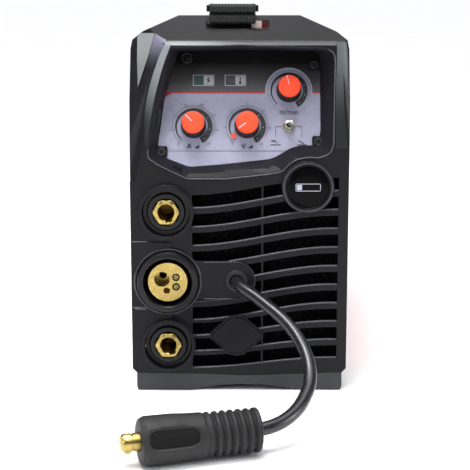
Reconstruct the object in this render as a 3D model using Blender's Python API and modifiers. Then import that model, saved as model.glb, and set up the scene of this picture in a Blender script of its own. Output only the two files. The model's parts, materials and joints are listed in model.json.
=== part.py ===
"""A compact MIG welding machine and its polarity lead, modelled as separate parts.

Metres, +Z up, the front faces -Y and +X is on the right seen from the front. The origin is on the floor,
under the middle of the machine.
"""

import math

import bmesh
import bpy
from mathutils import Matrix, Vector

# Driving dimensions of the case
HEIGHT = 0.304
LENGTH = 0.430
REACH = 0.008  # how far sockets and inlets stand out from the end faces
FRONT = -LENGTH / 2 + REACH
BACK = LENGTH / 2 - REACH
WALL = 0.003  # moulded plastic
SHEET = 0.0015  # folded steel
GAP = 0.0003  # between touching parts
BEZEL_DEPTH = 0.055
HEAD_DEPTH = 0.018
REAR_DROP = 0.0135  # the rear bezel is lower than the front one by this
COVER_X = 0.0838
COVER_TOP = 0.2750
COVER_END = FRONT + 0.046
FLOOR_Z = 0.0092
PAN_HALF = 0.0808

# Tilted control plate in the front bezel
TILT = math.radians(19)
PLATE_FOOT_Z = 0.190
PLATE_FOOT_DEPTH = 0.007
PLATE_THICK = 0.003
SHAFT_RADIUS = 0.003
KNOBS = {"current": (-0.0368, 0.2160), "voltage": (0.0061, 0.2160), "wire_speed": (0.0399, 0.2438)}
SWITCH_AT = (0.0397, 0.2159)
LENSES = {"left": -0.0289, "right": -0.0032}
LENS_Z = 0.2522
LENS_HALF = (0.0080, 0.0038)

# Sockets on the front, centres in x and z
POSITIVE = (-0.0588, 0.1490)
NEGATIVE = (-0.0579, 0.0388)
TORCH = (-0.0578, 0.0922)
DINSE_BORE = 0.0065
COLLAR_INNER = 0.0193
COLLAR_OUTER = 0.0220
TORCH_HOLE = 0.0229
TORCH_RING = 0.0290
LEAD_EXIT = (-0.0027, 0.0930)
LEAD_RADIUS = 0.005
BLANK_AT = (-0.0021, 0.0470)
BADGE_AT = (0.0548, 0.1693)

# Louvres
LOUVRE_TOP = 0.1668
LOUVRE_PITCH = 0.0154
LOUVRE_COUNT = 10
OPENING_HEIGHT = 0.0100
LOUVRE_LEFT = -0.0380
LOUVRE_RIGHT = 0.0795
LOUVRE_SAMPLES = 9

# Wire compartment on the left, electronics on the right
PARTITION_X = -0.0200
SPOOL_AT = (-0.0515, 0.0750, 0.1500)
SPOOL_RADIUS = 0.100
SPOOL_WIDTH = 0.052
COIL_RADIUS = 0.075
WIRE_X = -0.0625
WIRE_Z = 0.0945
WIRE_RADIUS = 0.0004
ROLL_Y = -0.0740
DRIVE_RADIUS = 0.0150
PRESSURE_RADIUS = 0.0130
ARM_PIVOT = (0.0, -0.0360, 0.1140)
SCREW_PIVOT = (0.0, -0.1100, 0.0800)
ARM_X = (-0.0565, -0.0445)
FAN_AT = (0.0300, 0.1150)
FAN_SIZE = 0.092
FAN_Y = BACK - 0.032
FAN_SLOTS = 9
FAN_SLOT_PITCH = 0.0100
FAN_SLOT_HEIGHT = 0.0060
SWITCH_BODY = (-0.0395, 0.2250)
ROCKER_TILT = math.radians(10)
MAINS_AT = (0.0300, 0.2150)
GAS_AT = (-0.0400, 0.0480)
HINGE_X = -0.0845
HINGE_Z = 0.0125
DOOR_TOP = 0.2700
LATCH_Z = 0.2580
LATCH_Y = 0.1150

# Carrying strap
STRAP_X = -0.0055
STRAP_WIDTH = 0.0365
STRAP_THICK = 0.0018
SLOT_X = (-0.026, 0.023)
SLOT_Z = (0.2935, 0.3000)

# Polarity lead: its route from the grommet to the plug, relative to the front face
LEAD_ROUTE = (
    (-0.0027, 0.010, 0.0930), (-0.0027, 0.000, 0.0930), (-0.0013, -0.010, 0.0921),
    (0.0050, -0.0185, 0.0893), (0.0140, -0.0275, 0.0850), (0.0235, -0.0375, 0.0797),
    (0.0330, -0.0475, 0.0738), (0.0410, -0.0572, 0.0668), (0.0470, -0.0670, 0.0592),
    (0.0512, -0.0775, 0.0510), (0.0528, -0.0880, 0.0430), (0.0518, -0.0985, 0.0362),
    (0.0482, -0.1085, 0.0308), (0.0437, -0.1178, 0.0264), (0.0377, -0.1262, 0.0228),
    (0.0303, -0.1335, 0.0200), (0.0221, -0.1393, 0.0184), (0.0135, -0.1430, 0.0177),
    (0.0060, -0.1452, 0.0177), (-0.0009, -0.1472, 0.0177),
)
PLUG_BACK = Vector((0.0135, -0.1430, 0.0177))
PLUG_HEADING = Vector((-0.960, -0.280, 0.0)).normalized()
PLUG_LENGTH = 0.0870
PIN_RADIUS = 0.0065

# Directions that a turned or flat piece can face: the local +Z goes there
TO_FRONT = (math.pi / 2, 0, 0)
TO_BACK = (-math.pi / 2, 0, 0)
TO_LEFT = (0, -math.pi / 2, 0)
TO_RIGHT = (0, math.pi / 2, 0)
TO_PANEL = (math.pi / 2 - TILT, 0, 0)
UPWARD = (0, 0, 0)

# Finish: colour as 0-255 values, roughness, metallic
FINISHES = {
    "case_plastic": ((64, 64, 71), 0.45, 0.0),
    "black_plastic": ((28, 28, 30), 0.35, 0.0),
    "label": ((150, 150, 165), 0.5, 0.0),
    "cap_orange": ((250, 100, 60), 0.4, 0.0),
    "red_paint": ((178, 24, 30), 0.3, 0.0),
    "zinc_steel": ((160, 163, 165), 0.4, 1.0),
    "nickel": ((190, 188, 182), 0.25, 1.0),
    "brass": ((200, 170, 95), 0.3, 1.0),
    "rubber": ((45, 45, 47), 0.7, 0.0),
    "cord": ((34, 34, 36), 0.35, 0.0),
    "webbing": ((60, 62, 60), 0.9, 0.0),
    "aluminium": ((175, 178, 180), 0.35, 1.0),
    "circuit_board": ((30, 95, 60), 0.5, 0.0),
    "copper_wire": ((185, 110, 70), 0.3, 1.0),
    "lens": ((150, 150, 165), 0.2, 0.0),
}


# ---------------------------------------------------------------- tools


def clear_scene():
    for obj in list(bpy.data.objects):
        bpy.data.objects.remove(obj, do_unlink=True)


def new_collection(name):
    collection = bpy.data.collections.new(name)
    bpy.context.scene.collection.children.link(collection)
    return collection


clear_scene()
PARTS = new_collection("mig_welding_machine")
CUTTERS = new_collection("cutters")


def linear(value):
    share = value / 255
    return share / 12.92 if share <= 0.04045 else ((share + 0.055) / 1.055) ** 2.4


def make_material(name, colour, roughness, metallic):
    made = bpy.data.materials.new(name)
    made.use_nodes = True
    shader = made.node_tree.nodes["Principled BSDF"]
    shader.inputs["Base Color"].default_value = (*map(linear, colour), 1)
    shader.inputs["Roughness"].default_value = roughness
    shader.inputs["Metallic"].default_value = metallic
    return made


MATERIALS = {name: make_material(name, *finish) for name, finish in FINISHES.items()}


def add(name, data, finish=None, location=(0, 0, 0), rotation=(0, 0, 0)):
    """Adds a part, or with no finish a hidden shape that is cut from a part or joined to it."""
    obj = bpy.data.objects.new(name, data)
    obj.location = location
    obj.rotation_euler = rotation
    if finish:
        data.materials.append(MATERIALS[finish])
        PARTS.objects.link(obj)
    else:
        obj.hide_render = True
        obj.display_type = "WIRE"
        CUTTERS.objects.link(obj)
    return obj


def to_mesh(shape, name):
    bmesh.ops.recalc_face_normals(shape, faces=shape.faces)
    mesh = bpy.data.meshes.new(name)
    shape.to_mesh(mesh)
    shape.free()
    return mesh


def box(name, low, high, finish=None, location=(0, 0, 0), rotation=(0, 0, 0)):
    low, high = Vector(low), Vector(high)
    size = Matrix.Diagonal((*(high - low), 1))
    shape = bmesh.new()
    bmesh.ops.create_cube(shape, size=1, matrix=Matrix.Translation((low + high) / 2) @ size)
    return add(name, to_mesh(shape, name), finish, location, rotation)


def place(axis, across, up, along):
    return {"X": (along, across, up), "Y": (across, along, up), "Z": (across, up, along)}[axis]


def prism(name, outline, axis, start, end, finish=None, location=(0, 0, 0), rotation=(0, 0, 0)):
    """A flat outline extruded along an axis: (y, z) points along X, (x, z) along Y, (x, y) along Z."""
    shape = bmesh.new()
    corners = [shape.verts.new(place(axis, across, up, start)) for across, up in outline]
    face = shape.faces.new(corners)
    pulled = bmesh.ops.extrude_face_region(shape, geom=[face])["geom"]
    moved = [item for item in pulled if isinstance(item, bmesh.types.BMVert)]
    bmesh.ops.translate(shape, verts=moved, vec=place(axis, 0, 0, end - start))
    return add(name, to_mesh(shape, name), finish, location, rotation)


def turned(name, profile, finish, centre, facing, segments=24, ring=False):
    """A profile of (radius, height) points turned about its local Z. A ring's profile closes on itself."""
    shape = bmesh.new()
    points = [shape.verts.new((radius, 0, height)) for radius, height in profile]
    for first, second in zip(points, points[1:] + points[:1] * ring):
        shape.edges.new((first, second))
    mesh = bpy.data.meshes.new(name)
    shape.to_mesh(mesh)
    shape.free()
    obj = add(name, mesh, finish, centre, facing)
    turn = obj.modifiers.new("Turn", "SCREW")
    turn.steps = turn.render_steps = segments
    turn.use_merge_vertices = True
    turn.merge_threshold = 0.00001
    return obj


def rod(name, radius, bottom, top, finish, centre, facing, segments=24):
    profile = ((0, top), (radius, top), (radius, bottom), (0, bottom))
    return turned(name, profile, finish, centre, facing, segments)


def pipe(name, inner, outer, bottom, top, finish, centre, facing, segments=24):
    profile = ((inner, top), (outer, top), (outer, bottom), (inner, bottom))
    return turned(name, profile, finish, centre, facing, segments, ring=True)


def tube(name, points, radius, finish):
    """A round cord along a POLY spline with flat ends."""
    curve = bpy.data.curves.new(name, "CURVE")
    curve.dimensions = "3D"
    curve.bevel_depth = radius
    curve.bevel_resolution = 2
    curve.use_fill_caps = True
    spline = curve.splines.new("POLY")
    spline.points.add(len(points) - 1)
    for point, spot in zip(spline.points, points):
        point.co = (*spot, 1)
    return add(name, curve, finish)


def loft(name, rings, finish=None):
    """A closed solid through rings of matching points, with a flat face on each end."""
    shape = bmesh.new()
    loops = [[shape.verts.new(point) for point in ring] for ring in rings]
    for lower, upper in zip(loops, loops[1:]):
        for index in range(len(lower)):
            after = (index + 1) % len(lower)
            shape.faces.new((lower[index], lower[after], upper[after], upper[index]))
    shape.faces.new(loops[0])
    shape.faces.new(loops[-1])
    return add(name, to_mesh(shape, name), finish)


def boolean(target, operation, others):
    for other in others:
        step = target.modifiers.new(other.name, "BOOLEAN")
        step.operation = operation
        step.object = other
    return target


def cut(target, *others):
    return boolean(target, "DIFFERENCE", others)


def join(target, *others):
    return boolean(target, "UNION", others)


def round_edges(obj, width, segments=1):
    bevel = obj.modifiers.new("Edges", "BEVEL")
    bevel.width = width
    bevel.segments = segments
    bevel.limit_method = "ANGLE"
    return obj


def set_pivot(obj, point):
    """Moves a part's origin to a point on its joint's axis, and leaves the part where it is."""
    obj.data.transform(Matrix.Translation(-Vector(point)))
    obj.location = point
    return obj


def arc(centre, radius, start, end, steps):
    """Points from one angle to another, in degrees counterclockwise from the first axis."""
    angles = [math.radians(start + (end - start) * step / steps) for step in range(steps + 1)]
    return [(centre[0] + radius * math.cos(a), centre[1] + radius * math.sin(a)) for a in angles]


def smoothstep(share):
    share = min(max(share, 0), 1)
    return share * share * (3 - 2 * share)


def grown(outline, amount):
    """A counterclockwise or clockwise outline with each point moved outward by about this amount."""
    middle = sum((Vector(point) for point in outline), Vector((0, 0))) / len(outline)
    result = []
    for index, point in enumerate(outline):
        ahead = Vector(outline[(index + 1) % len(outline)])
        tangent = (ahead - Vector(outline[index - 1])).normalized()
        outward = Vector((tangent.y, -tangent.x))
        if outward.dot(Vector(point) - middle) < 0:
            outward.negate()
        result.append(tuple(Vector(point) + outward * amount))
    return result


def plate_y(z):
    return FRONT + PLATE_FOOT_DEPTH + (z - PLATE_FOOT_Z) * math.tan(TILT)


def on_plate(x, z, out=0.0):
    """The point in front of the control plate's face at this x and z, measured square to the face."""
    return Vector((x, plate_y(z) - out * math.cos(TILT), z + out * math.sin(TILT)))


# ---------------------------------------------------------------- bezels

LOWER_SIDE = ((0.0820, 0.0000), (0.0840, 0.0030), (0.0840, 0.0150), (0.0875, 0.0185), (0.0875, 0.2370))
FRONT_HEAD = ((0.0863, 0.2780), (0.0848, 0.2850), (0.0765, 0.2915), (0.0480, HEIGHT))
REAR_HEAD = ((0.0863, 0.2740), (0.0855, 0.2790), (0.0765, 0.2840), (0.0480, HEIGHT - REAR_DROP))
ARCH = (
    (-0.0420, 0.0000), (-0.0260, 0.0028), (-0.0110, 0.0045), (0.0030, 0.0050), (0.0170, 0.0045),
    (0.0320, 0.0028), (0.0480, 0.0000),
)


def case_outline(head):
    """The end view of a bezel: its two sides and head, and the arch between its feet."""
    right = [*LOWER_SIDE, *head]
    return [*right, *((-x, z) for x, z in reversed(right)), *ARCH]


CAVITY_OUTLINE = (
    [(-0.0800, 0.0040), (-0.0845, 0.0200), (-0.0845, 0.2370), (-0.0838, 0.2600), (-0.0838, COVER_TOP + GAP)]
    + [(0.0841, COVER_TOP + GAP), (0.0841, 0.2600), (0.0845, 0.2370), (0.0845, 0.0200), (0.0800, 0.0040)]
    + [(0.0480, 0.0040), (0.0170, 0.0080), (-0.0110, 0.0080), (-0.0420, 0.0040)]
)

# The recess over the control plate: a point of its rim on the face, and the point below it on the plate
RECESS = (
    ((-0.0540, 0.2790), (-0.0500, 0.2750)),
    ((0.0000, 0.2805), (0.0000, 0.2765)),
    ((0.0680, 0.2785), (0.0620, 0.2755)),
    ((0.0735, 0.2755), (0.0656, 0.2720)),
    ((0.0748, 0.2700), (0.0658, 0.2660)),
    ((0.0745, 0.2380), (0.0658, 0.2370)),
    ((0.0745, 0.2030), (0.0658, 0.2120)),
    ((0.0720, 0.1965), (0.0640, 0.2035)),
    ((0.0640, 0.1930), (0.0580, 0.2005)),
    ((0.0548, 0.1935), (0.0485, 0.2005)),
    ((0.0460, 0.1920), (0.0410, 0.1985)),
    ((0.0395, 0.1880), (0.0335, 0.1940)),
    ((0.0340, 0.1820), (0.0265, 0.1905)),
    ((0.0240, 0.1800), (0.0200, 0.1895)),
    ((-0.0115, 0.1762), (-0.0140, 0.1860)),
    ((-0.0418, 0.1762), (-0.0400, 0.1840)),
    ((-0.0640, 0.1870), (-0.0580, 0.1905)),
    ((-0.0722, 0.1925), (-0.0655, 0.1960)),
    ((-0.0726, 0.1970), (-0.0660, 0.2010)),
    ((-0.0635, 0.2370), (-0.0610, 0.2370)),
)
RIM = [rim for rim, _ in RECESS]
PLATE = [foot for _, foot in RECESS]


def at_depth(outline, depth):
    return [(x, FRONT + depth, z) for x, z in outline]


def on_slope(outline, behind):
    return [(x, plate_y(z) + behind, z) for x, z in outline]


def edge_cutter(name, start, end, profile, side):
    """Removes what lies beyond a profile swept along an edge of the face, from start to end in (x, z).

    The profile holds (away from the edge, depth) pairs. Side is -1 where the edge falls away to the left.
    """
    along = Vector((end[0] - start[0], 0, end[1] - start[1])).normalized()
    away = Vector((along.z, 0, -along.x))
    away *= side * (1 if away.x > 0 else -1)
    beyond, deepest = profile[-1]
    closed = [*profile, (beyond, deepest - 0.05), (-0.0005, -0.02), (-0.0005, -0.0005)]
    rings = [
        [Vector((x, FRONT + depth, z)) + away * out for out, depth in closed]
        for x, z in (Vector(start) - Vector((along.x, along.z)) * 0.05, Vector(end))
    ]
    return loft(name, rings)


def half_space(name, corners):
    """A thick slab on the outer side of the plane through three corners, given as (x, depth, z)."""
    spots = [Vector((x, FRONT + depth, z)) for x, depth, z in corners]
    normal = (spots[1] - spots[0]).cross(spots[2] - spots[0]).normalized()
    normal *= 1 if normal.y < 0 else -1
    facing = normal.to_track_quat("Z", "Y").to_euler()
    return box(name, (-0.06, -0.06, 0), (0.06, 0.06, 0.06), None, spots[0], facing)


def behind(facet, inward=1):
    """A copy of a facet's cutter one wall further in, which keeps the hollow behind the facet closed."""
    deeper = add(facet.name + "_inside", facet.data, None, facet.location, facet.rotation_euler)
    deeper.location += Vector((0, 1.3 * WALL * inward, 0))
    return deeper


def bezel_shell(name, head, face, inward):
    """The outer wall of an end bezel, open towards the machine's middle, with the head's sloping back."""
    shell = prism(name, case_outline(head), "Y", face, face + inward * BEZEL_DEPTH, "case_plastic")
    top = head[-1][1]
    back = face + inward * (BEZEL_DEPTH + 0.001)
    crest = face + inward * HEAD_DEPTH
    slope = [(crest, top + 0.001), (crest, top), (back, 0.2800), (back, top + 0.001)]
    return cut(shell, prism(name + "_rear_slope", slope, "X", -0.1, 0.1))


def head_front(name, top, face, inward):
    """Removes what lies before the narrow brow and the forehead that leans back above it."""
    slope = [(0.0, top - 0.0230), (0.0035, top - 0.0190), (0.0130, top + 0.0005), (0.0130, top + 0.02)]
    slope += [(-0.01, top + 0.02), (-0.01, top - 0.0235)]
    return prism(name, [(face + inward * depth, z) for depth, z in slope], "X", -0.1, 0.1)


def strap_slot(name, drop, face, inward):
    low, high = sorted((face, face + inward * 0.06))
    return box(name, (SLOT_X[0], low, SLOT_Z[0] - drop), (SLOT_X[1], high, SLOT_Z[1] - drop))


def louvre_line(index, x):
    """The height of a louvre blade's top edge at x: an S-curve that climbs to the right."""
    drop = max(0.0142 - 0.0022 * max(index - 6, 0), 0.0086)
    return LOUVRE_TOP - LOUVRE_PITCH * index - drop * (1 - smoothstep((x - LOUVRE_LEFT) / 0.113))


def louvre_openings():
    """The openings between the louvre blades, as one cutter of separate prisms."""
    shape = bmesh.new()
    step = (LOUVRE_RIGHT - LOUVRE_LEFT) / (LOUVRE_SAMPLES - 1)
    xs = [LOUVRE_LEFT + step * sample for sample in range(LOUVRE_SAMPLES)]
    for index in range(LOUVRE_COUNT):
        low = [(x, louvre_line(index, x)) for x in xs]
        high = [(x, z + OPENING_HEIGHT) for x, z in reversed(low)]
        corners = [shape.verts.new((x, FRONT - 0.01, z)) for x, z in low + high]
        pulled = bmesh.ops.extrude_face_region(shape, geom=[shape.faces.new(corners)])["geom"]
        moved = [item for item in pulled if isinstance(item, bmesh.types.BMVert)]
        bmesh.ops.translate(shape, verts=moved, vec=(0, 0.01 + WALL * 2, 0))
    return add("louvre_openings", to_mesh(shape, "louvre_openings"))


def front_disc(name, at, radius, bottom, top, segments=32):
    return rod(name, radius, bottom, top, None, (at[0], FRONT, at[1]), TO_FRONT, segments)


def rhombus(half_width, half_height, centre):
    """A rhombus with soft corners."""
    x, z = centre
    wide, high = half_width, half_height
    tip, end, side = 0.12 * high, 0.92 * high, 0.30 * wide
    right = [(wide, -tip), (wide, tip), (side, end), (0.0, high)]
    left = [(-side, end), (-wide, tip), (-wide, -tip), (-side, -end)]
    return [(x + dx, z + dz) for dx, dz in (*right, *left, (0.0, -high), (side, -end))]


def front_pods():
    """Raised surrounds that carry the sockets, the lead's exit, the blanking cover and the badge."""
    pods = []
    for name, at in (("positive", POSITIVE), ("negative", NEGATIVE)):
        pods.append(front_disc(name + "_collar", at, COLLAR_OUTER, -0.0026, 0.0060, 40))
    pods.append(front_disc("torch_surround", TORCH, TORCH_RING - 0.0015, -0.0024, 0.0027, 40))
    x, z = LEAD_EXIT
    end = arc((x, z), 0.0158, -90, 90, 10)
    pill = [(TORCH[0], z - 0.0158), *end, (TORCH[0], z + 0.0158)]
    pods.append(prism("lead_plate", pill, "Y", FRONT - 0.0016, FRONT + 0.0025))
    pods.append(prism("blank_rim", rhombus(0.0215, 0.0172, BLANK_AT), "Y", FRONT - 0.0019, FRONT + 0.0027))
    pods.append(front_disc("badge_collar", BADGE_AT, 0.0208, -0.0023, 0.0030, 40))
    pods.append(box("middle_pod", (-0.0862, FRONT - 0.0012, 0.0696), (-0.0560, FRONT + 0.0018, 0.1244)))
    pods.append(box("lower_pod", (-0.0858, FRONT - 0.0022, 0.0202), (-0.0553, FRONT + 0.0016, 0.0702)))
    pods.append(box("louvre_rib", (0.0177, FRONT + 0.0010, 0.0160), (0.0193, FRONT + 0.0080, 0.1700)))
    return pods


def front_holes():
    holes = []
    for name, at in (("positive", POSITIVE), ("negative", NEGATIVE)):
        holes.append(front_disc(name + "_hole", at, COLLAR_INNER, -0.02, 0.02, 40))
    holes.append(front_disc("torch_hole", TORCH, TORCH_HOLE, -0.02, 0.02, 40))
    holes.append(front_disc("torch_seat", TORCH, 0.0253, 0.0004, 0.02, 36))
    holes.append(front_disc("lead_hole", LEAD_EXIT, 0.0078, -0.02, 0.02, 24))
    holes.append(front_disc("badge_seat", BADGE_AT, 0.0180, 0.0006, 0.02, 36))
    holes.append(prism("blank_seat", rhombus(0.0199, 0.0154, BLANK_AT), "Y", FRONT - 0.02, FRONT + 0.0005))
    return holes


def front_bezel():
    shell = bezel_shell("front_bezel", FRONT_HEAD, FRONT, 1)
    tub_rings = [at_depth(grown(RIM, 0.0025), -0.002), at_depth(grown(RIM, 0.0025), 0.0)]
    tub_rings.append(on_slope(grown(PLATE, 0.0030), 0.0050))
    left = ((0, 0), (0.0050, 0.0034), (0.0062, 0.0034), (0.0180, 0.0070), (0.0450, 0.0120))
    right = ((0, 0), (0.0045, 0.0034), (0.0200, 0.0090))
    facets = [
        edge_cutter("left_shoulder", (-0.0580, 0.2850), (-0.0830, 0.1730), left, -1),
        edge_cutter("right_shoulder", (0.0788, 0.2850), (0.0870, 0.2100), right, 1),
        half_space("left_wedge", ((-0.081, 0.0070, 0.247), (-0.067, 0.0060, 0.291), (-0.082, 0.0130, 0.291))),
    ]
    cavity = prism("front_cavity", CAVITY_OUTLINE, "Y", FRONT + WALL, FRONT + BEZEL_DEPTH + 0.001)
    cut(cavity, loft("control_tub", tub_rings), *(behind(facet) for facet in facets))
    cut(shell, cavity, head_front("front_head", HEIGHT, FRONT, 1), strap_slot("front_slot", 0, FRONT, 1))
    cut(shell, *facets)
    cut(shell, louvre_openings())
    join(shell, *front_pods())
    recess = [at_depth(RIM, -0.01), at_depth(RIM, 0.0), on_slope(PLATE, 0.0), on_slope(PLATE, 0.020)]
    cut(shell, *front_holes(), loft("control_recess", recess))


def rear_bezel():
    shell = bezel_shell("rear_bezel", REAR_HEAD, BACK, -1)
    head = head_front("rear_head", HEIGHT - REAR_DROP, BACK, -1)
    cavity = prism("rear_cavity", CAVITY_OUTLINE, "Y", BACK - WALL, BACK - BEZEL_DEPTH - 0.001)
    cut(cavity, behind(head, -1))
    cut(shell, cavity, head, strap_slot("rear_slot", REAR_DROP, BACK, -1))
    slots = bmesh.new()
    for row in range(FAN_SLOTS):
        spot = Vector((FAN_AT[0], BACK, FAN_AT[1] + (row - (FAN_SLOTS - 1) / 2) * FAN_SLOT_PITCH))
        stretch = Matrix.Translation(spot) @ Matrix.Diagonal((FAN_SIZE, 0.02, FAN_SLOT_HEIGHT, 1))
        bmesh.ops.create_cube(slots, size=1, matrix=stretch)
    cut(shell, add("fan_slots", to_mesh(slots, "fan_slots")))
    x, z = SWITCH_BODY
    low, high = (x - 0.0110, BACK - 0.01, z - 0.0155), (x + 0.0110, BACK + 0.01, z + 0.0155)
    cut(shell, box("switch_hole", low, high))
    for name, (x, z), radius in (("mains_hole", MAINS_AT, 0.0103), ("gas_hole", GAS_AT, 0.0083)):
        cut(shell, rod(name, radius, -0.01, 0.01, None, (x, BACK, z), TO_BACK, 24))


# ---------------------------------------------------------------- sheet metal


def base_pan():
    low, high, half = FLOOR_Z, FLOOR_Z + SHEET, PAN_HALF
    section = [(-half, low), (half, low), (half, 0.0320), (half - SHEET, 0.0320), (half - SHEET, high)]
    section += [(-half + SHEET, high), (-half + SHEET, 0.0200), (-half, 0.0200)]
    pan = prism("base_pan", section, "Y", FRONT + 0.010, BACK - 0.010, "zinc_steel")
    for name, start in (("front", -0.080), ("rear", 0.062)):
        knuckle = rod(name + "_knuckle", 0.0026, 0, 0.018, None, (HINGE_X, start, HINGE_Z), TO_BACK, 16)
        arm_low = (HINGE_X, start, FLOOR_Z + 0.0007)
        arm_high = (-PAN_HALF + 0.0005, start + 0.018, FLOOR_Z + SHEET)
        join(pan, knuckle, box(name + "_hinge_arm", arm_low, arm_high))
    cut(pan, rod("pan_pin_hole", 0.0013 + GAP, -0.2, 0.2, None, (HINGE_X, 0, HINGE_Z), TO_BACK, 12))


def outer_cover():
    """The red shell: a short lip over the door, the top and the whole right side."""
    out, top, lip = COVER_X, COVER_TOP, 0.2460
    section = [(-out, lip), (-out, top - 0.004), (-out + 0.004, top), (out - 0.004, top), (out, top - 0.004)]
    section += [(out, 0.0200), (out - SHEET, 0.0200), (out - SHEET, top - 0.0046)]
    section += [(out - 0.0046, top - SHEET), (-out + 0.0046, top - SHEET)]
    section += [(-out + SHEET, top - 0.0046), (-out + SHEET, lip)]
    cover = prism("outer_cover", section, "Y", COVER_END, -COVER_END, "red_paint")
    for name, y in (("front", -LATCH_Y), ("rear", LATCH_Y)):
        low, high = (-0.09, y - 0.0082, LATCH_Z - 0.0026), (-0.08, y + 0.0082, LATCH_Z + 0.0026)
        cut(cover, box(name + "_latch_slot", low, high))


def side_door():
    low, high = (-0.0862, -0.1512, 0.0160), (-0.0862 + SHEET, 0.1512, DOOR_TOP)
    door = box("side_door", low, high, "red_paint")
    for name, start in (("front", -0.110), ("rear", 0.092)):
        knuckle = rod(name + "_door_knuckle", 0.0026, 0, 0.018, None, (HINGE_X, start, HINGE_Z), TO_BACK, 16)
        strap = box(name + "_door_strap", (-0.0862, start, HINGE_Z), (-0.0862 + SHEET, start + 0.018, 0.0170))
        join(door, knuckle, strap)
    cut(door, rod("door_pin_hole", 0.0013 + GAP, -0.2, 0.2, None, (HINGE_X, 0, HINGE_Z), TO_BACK, 12))
    for name, y in (("front", -LATCH_Y), ("rear", LATCH_Y)):
        cut(door, rod(name + "_latch_hole", 0.0023, -0.02, 0.02, None, (-0.085, y, LATCH_Z), TO_LEFT, 16))
    set_pivot(door, (HINGE_X, 0, HINGE_Z))
    rod("door_hinge_pin", 0.0013, -0.125, 0.125, "zinc_steel", (HINGE_X, 0, HINGE_Z), TO_BACK, 12)


def door_latches():
    """Quarter-turn latches. At rest the cam lies along its slot, so the door can open."""
    for name, y in (("front", -LATCH_Y), ("rear", LATCH_Y)):
        head = [(0, 0.0024), (0.0085, 0.0024), (0.0095, 0.0016), (0.0095, 0.0014)]
        stem = [(0.0020, 0.0014), (0.0020, -0.0060), (0, -0.0060)]
        latch = turned("door_latch_" + name, head + stem, "black_plastic", (-0.0850, y, LATCH_Z), TO_LEFT, 20)
        slot_low, slot_high = (-0.0880, y - 0.0065, LATCH_Z - 0.0009), (-0.0868, y + 0.0065, LATCH_Z + 0.0009)
        cut(latch, box(name + "_coin_slot", slot_low, slot_high))
        cam_low, cam_high = (-0.0812, y - 0.0072, LATCH_Z - 0.0019), (-0.0790, y + 0.0072, LATCH_Z + 0.0019)
        join(latch, box(name + "_cam", cam_low, cam_high))


def partition():
    low, high = (PARTITION_X, -0.1500, FLOOR_Z + SHEET + GAP), (PARTITION_X + SHEET, 0.1560, 0.2700)
    wall = box("partition", low, high, "zinc_steel")
    motor_at = (PARTITION_X, ROLL_Y, drive_axis_z())
    cut(wall, rod("motor_shaft_hole", 0.0130, -0.01, 0.01, None, motor_at, TO_RIGHT, 20))


# ---------------------------------------------------------------- front panel parts


def control_plate():
    rings = [on_slope(grown(PLATE, -0.0003), PLATE_THICK + GAP), on_slope(grown(PLATE, -0.0003), GAP)]
    plate = loft("control_plate", rings, "label")
    holes = [(name, x, z, SHAFT_RADIUS + 0.0006) for name, (x, z) in KNOBS.items()]
    holes.append(("switch", *SWITCH_AT, 0.0033))
    for name, x, z, radius in holes:
        cut(plate, rod(name + "_plate_hole", radius, -0.02, 0.02, None, on_plate(x, z), TO_PANEL, 16))
    for side, x in LENSES.items():
        half = Vector((LENS_HALF[0] + GAP, LENS_HALF[1] + GAP, 0.02))
        cut(plate, box(side + "_window", -half, half, None, on_plate(x, LENS_Z), TO_PANEL))


def indicator_lenses():
    for side, x in LENSES.items():
        low, high = (-LENS_HALF[0], -LENS_HALF[1], -0.0025), (*LENS_HALF, 0.0004)
        box("indicator_lens_" + side, low, high, "lens", on_plate(x, LENS_Z), TO_PANEL)


def knobs():
    for name, (x, z) in KNOBS.items():
        outside = [(0, 0.0142), (0.0088, 0.0142), (0.0092, 0.0040), (0.0100, 0.0034), (0.0100, 0.0008)]
        bore = [(SHAFT_RADIUS + GAP, 0.0008), (SHAFT_RADIUS + GAP, 0.0102), (0, 0.0102)]
        turned(name + "_knob", outside + bore, "black_plastic", on_plate(x, z), TO_PANEL, 24)
        cap = [(0, 0.0166), (0.0082, 0.0166), (0.0089, 0.0160), (0.0089, 0.0145), (0, 0.0145)]
        turned(name + "_cap", cap, "cap_orange", on_plate(x, z), TO_PANEL, 24)


def control_board():
    """Circuit board behind the plate, with three potentiometers and their shafts."""
    board = box("control_board", (-0.0500, -0.0240, -0.0172), (0.0540, 0.0300, -0.0156), "circuit_board")
    board.location = on_plate(0, 0.2260)
    board.rotation_euler = TO_PANEL
    for name, (x, z) in KNOBS.items():
        body = [(0, 0.0098), (SHAFT_RADIUS, 0.0098), (SHAFT_RADIUS, -0.0062), (0.0080, -0.0062)]
        body += [(0.0080, -0.0160), (0, -0.0160)]
        join(board, turned(name + "_pot", body, None, on_plate(x, z), TO_PANEL, 16))


def mode_switch():
    x, z = SWITCH_AT
    sleeve = [(0.0018, 0.0052), (0.0030, 0.0052), (0.0030, 0.0024), (0.0050, 0.0024), (0.0050, 0.0002)]
    inside = [(0.0030, 0.0002), (0.0030, -0.0100), (0.0018, -0.0100)]
    turned("mode_switch_bushing", sleeve + inside, "nickel", on_plate(x, z), TO_PANEL, 18, ring=True)
    lever = [(0, 0.0135), (0.0015, 0.0130), (0.0017, 0.0118), (0.0011, 0.0052)]
    lever += [(0.0009, -0.0020), (0, -0.0020)]
    bat = turned("mode_switch_lever", lever, "nickel", on_plate(x, z, 0.0040), TO_PANEL, 12)
    bat.rotation_euler.rotate_axis("Y", math.radians(8))


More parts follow.
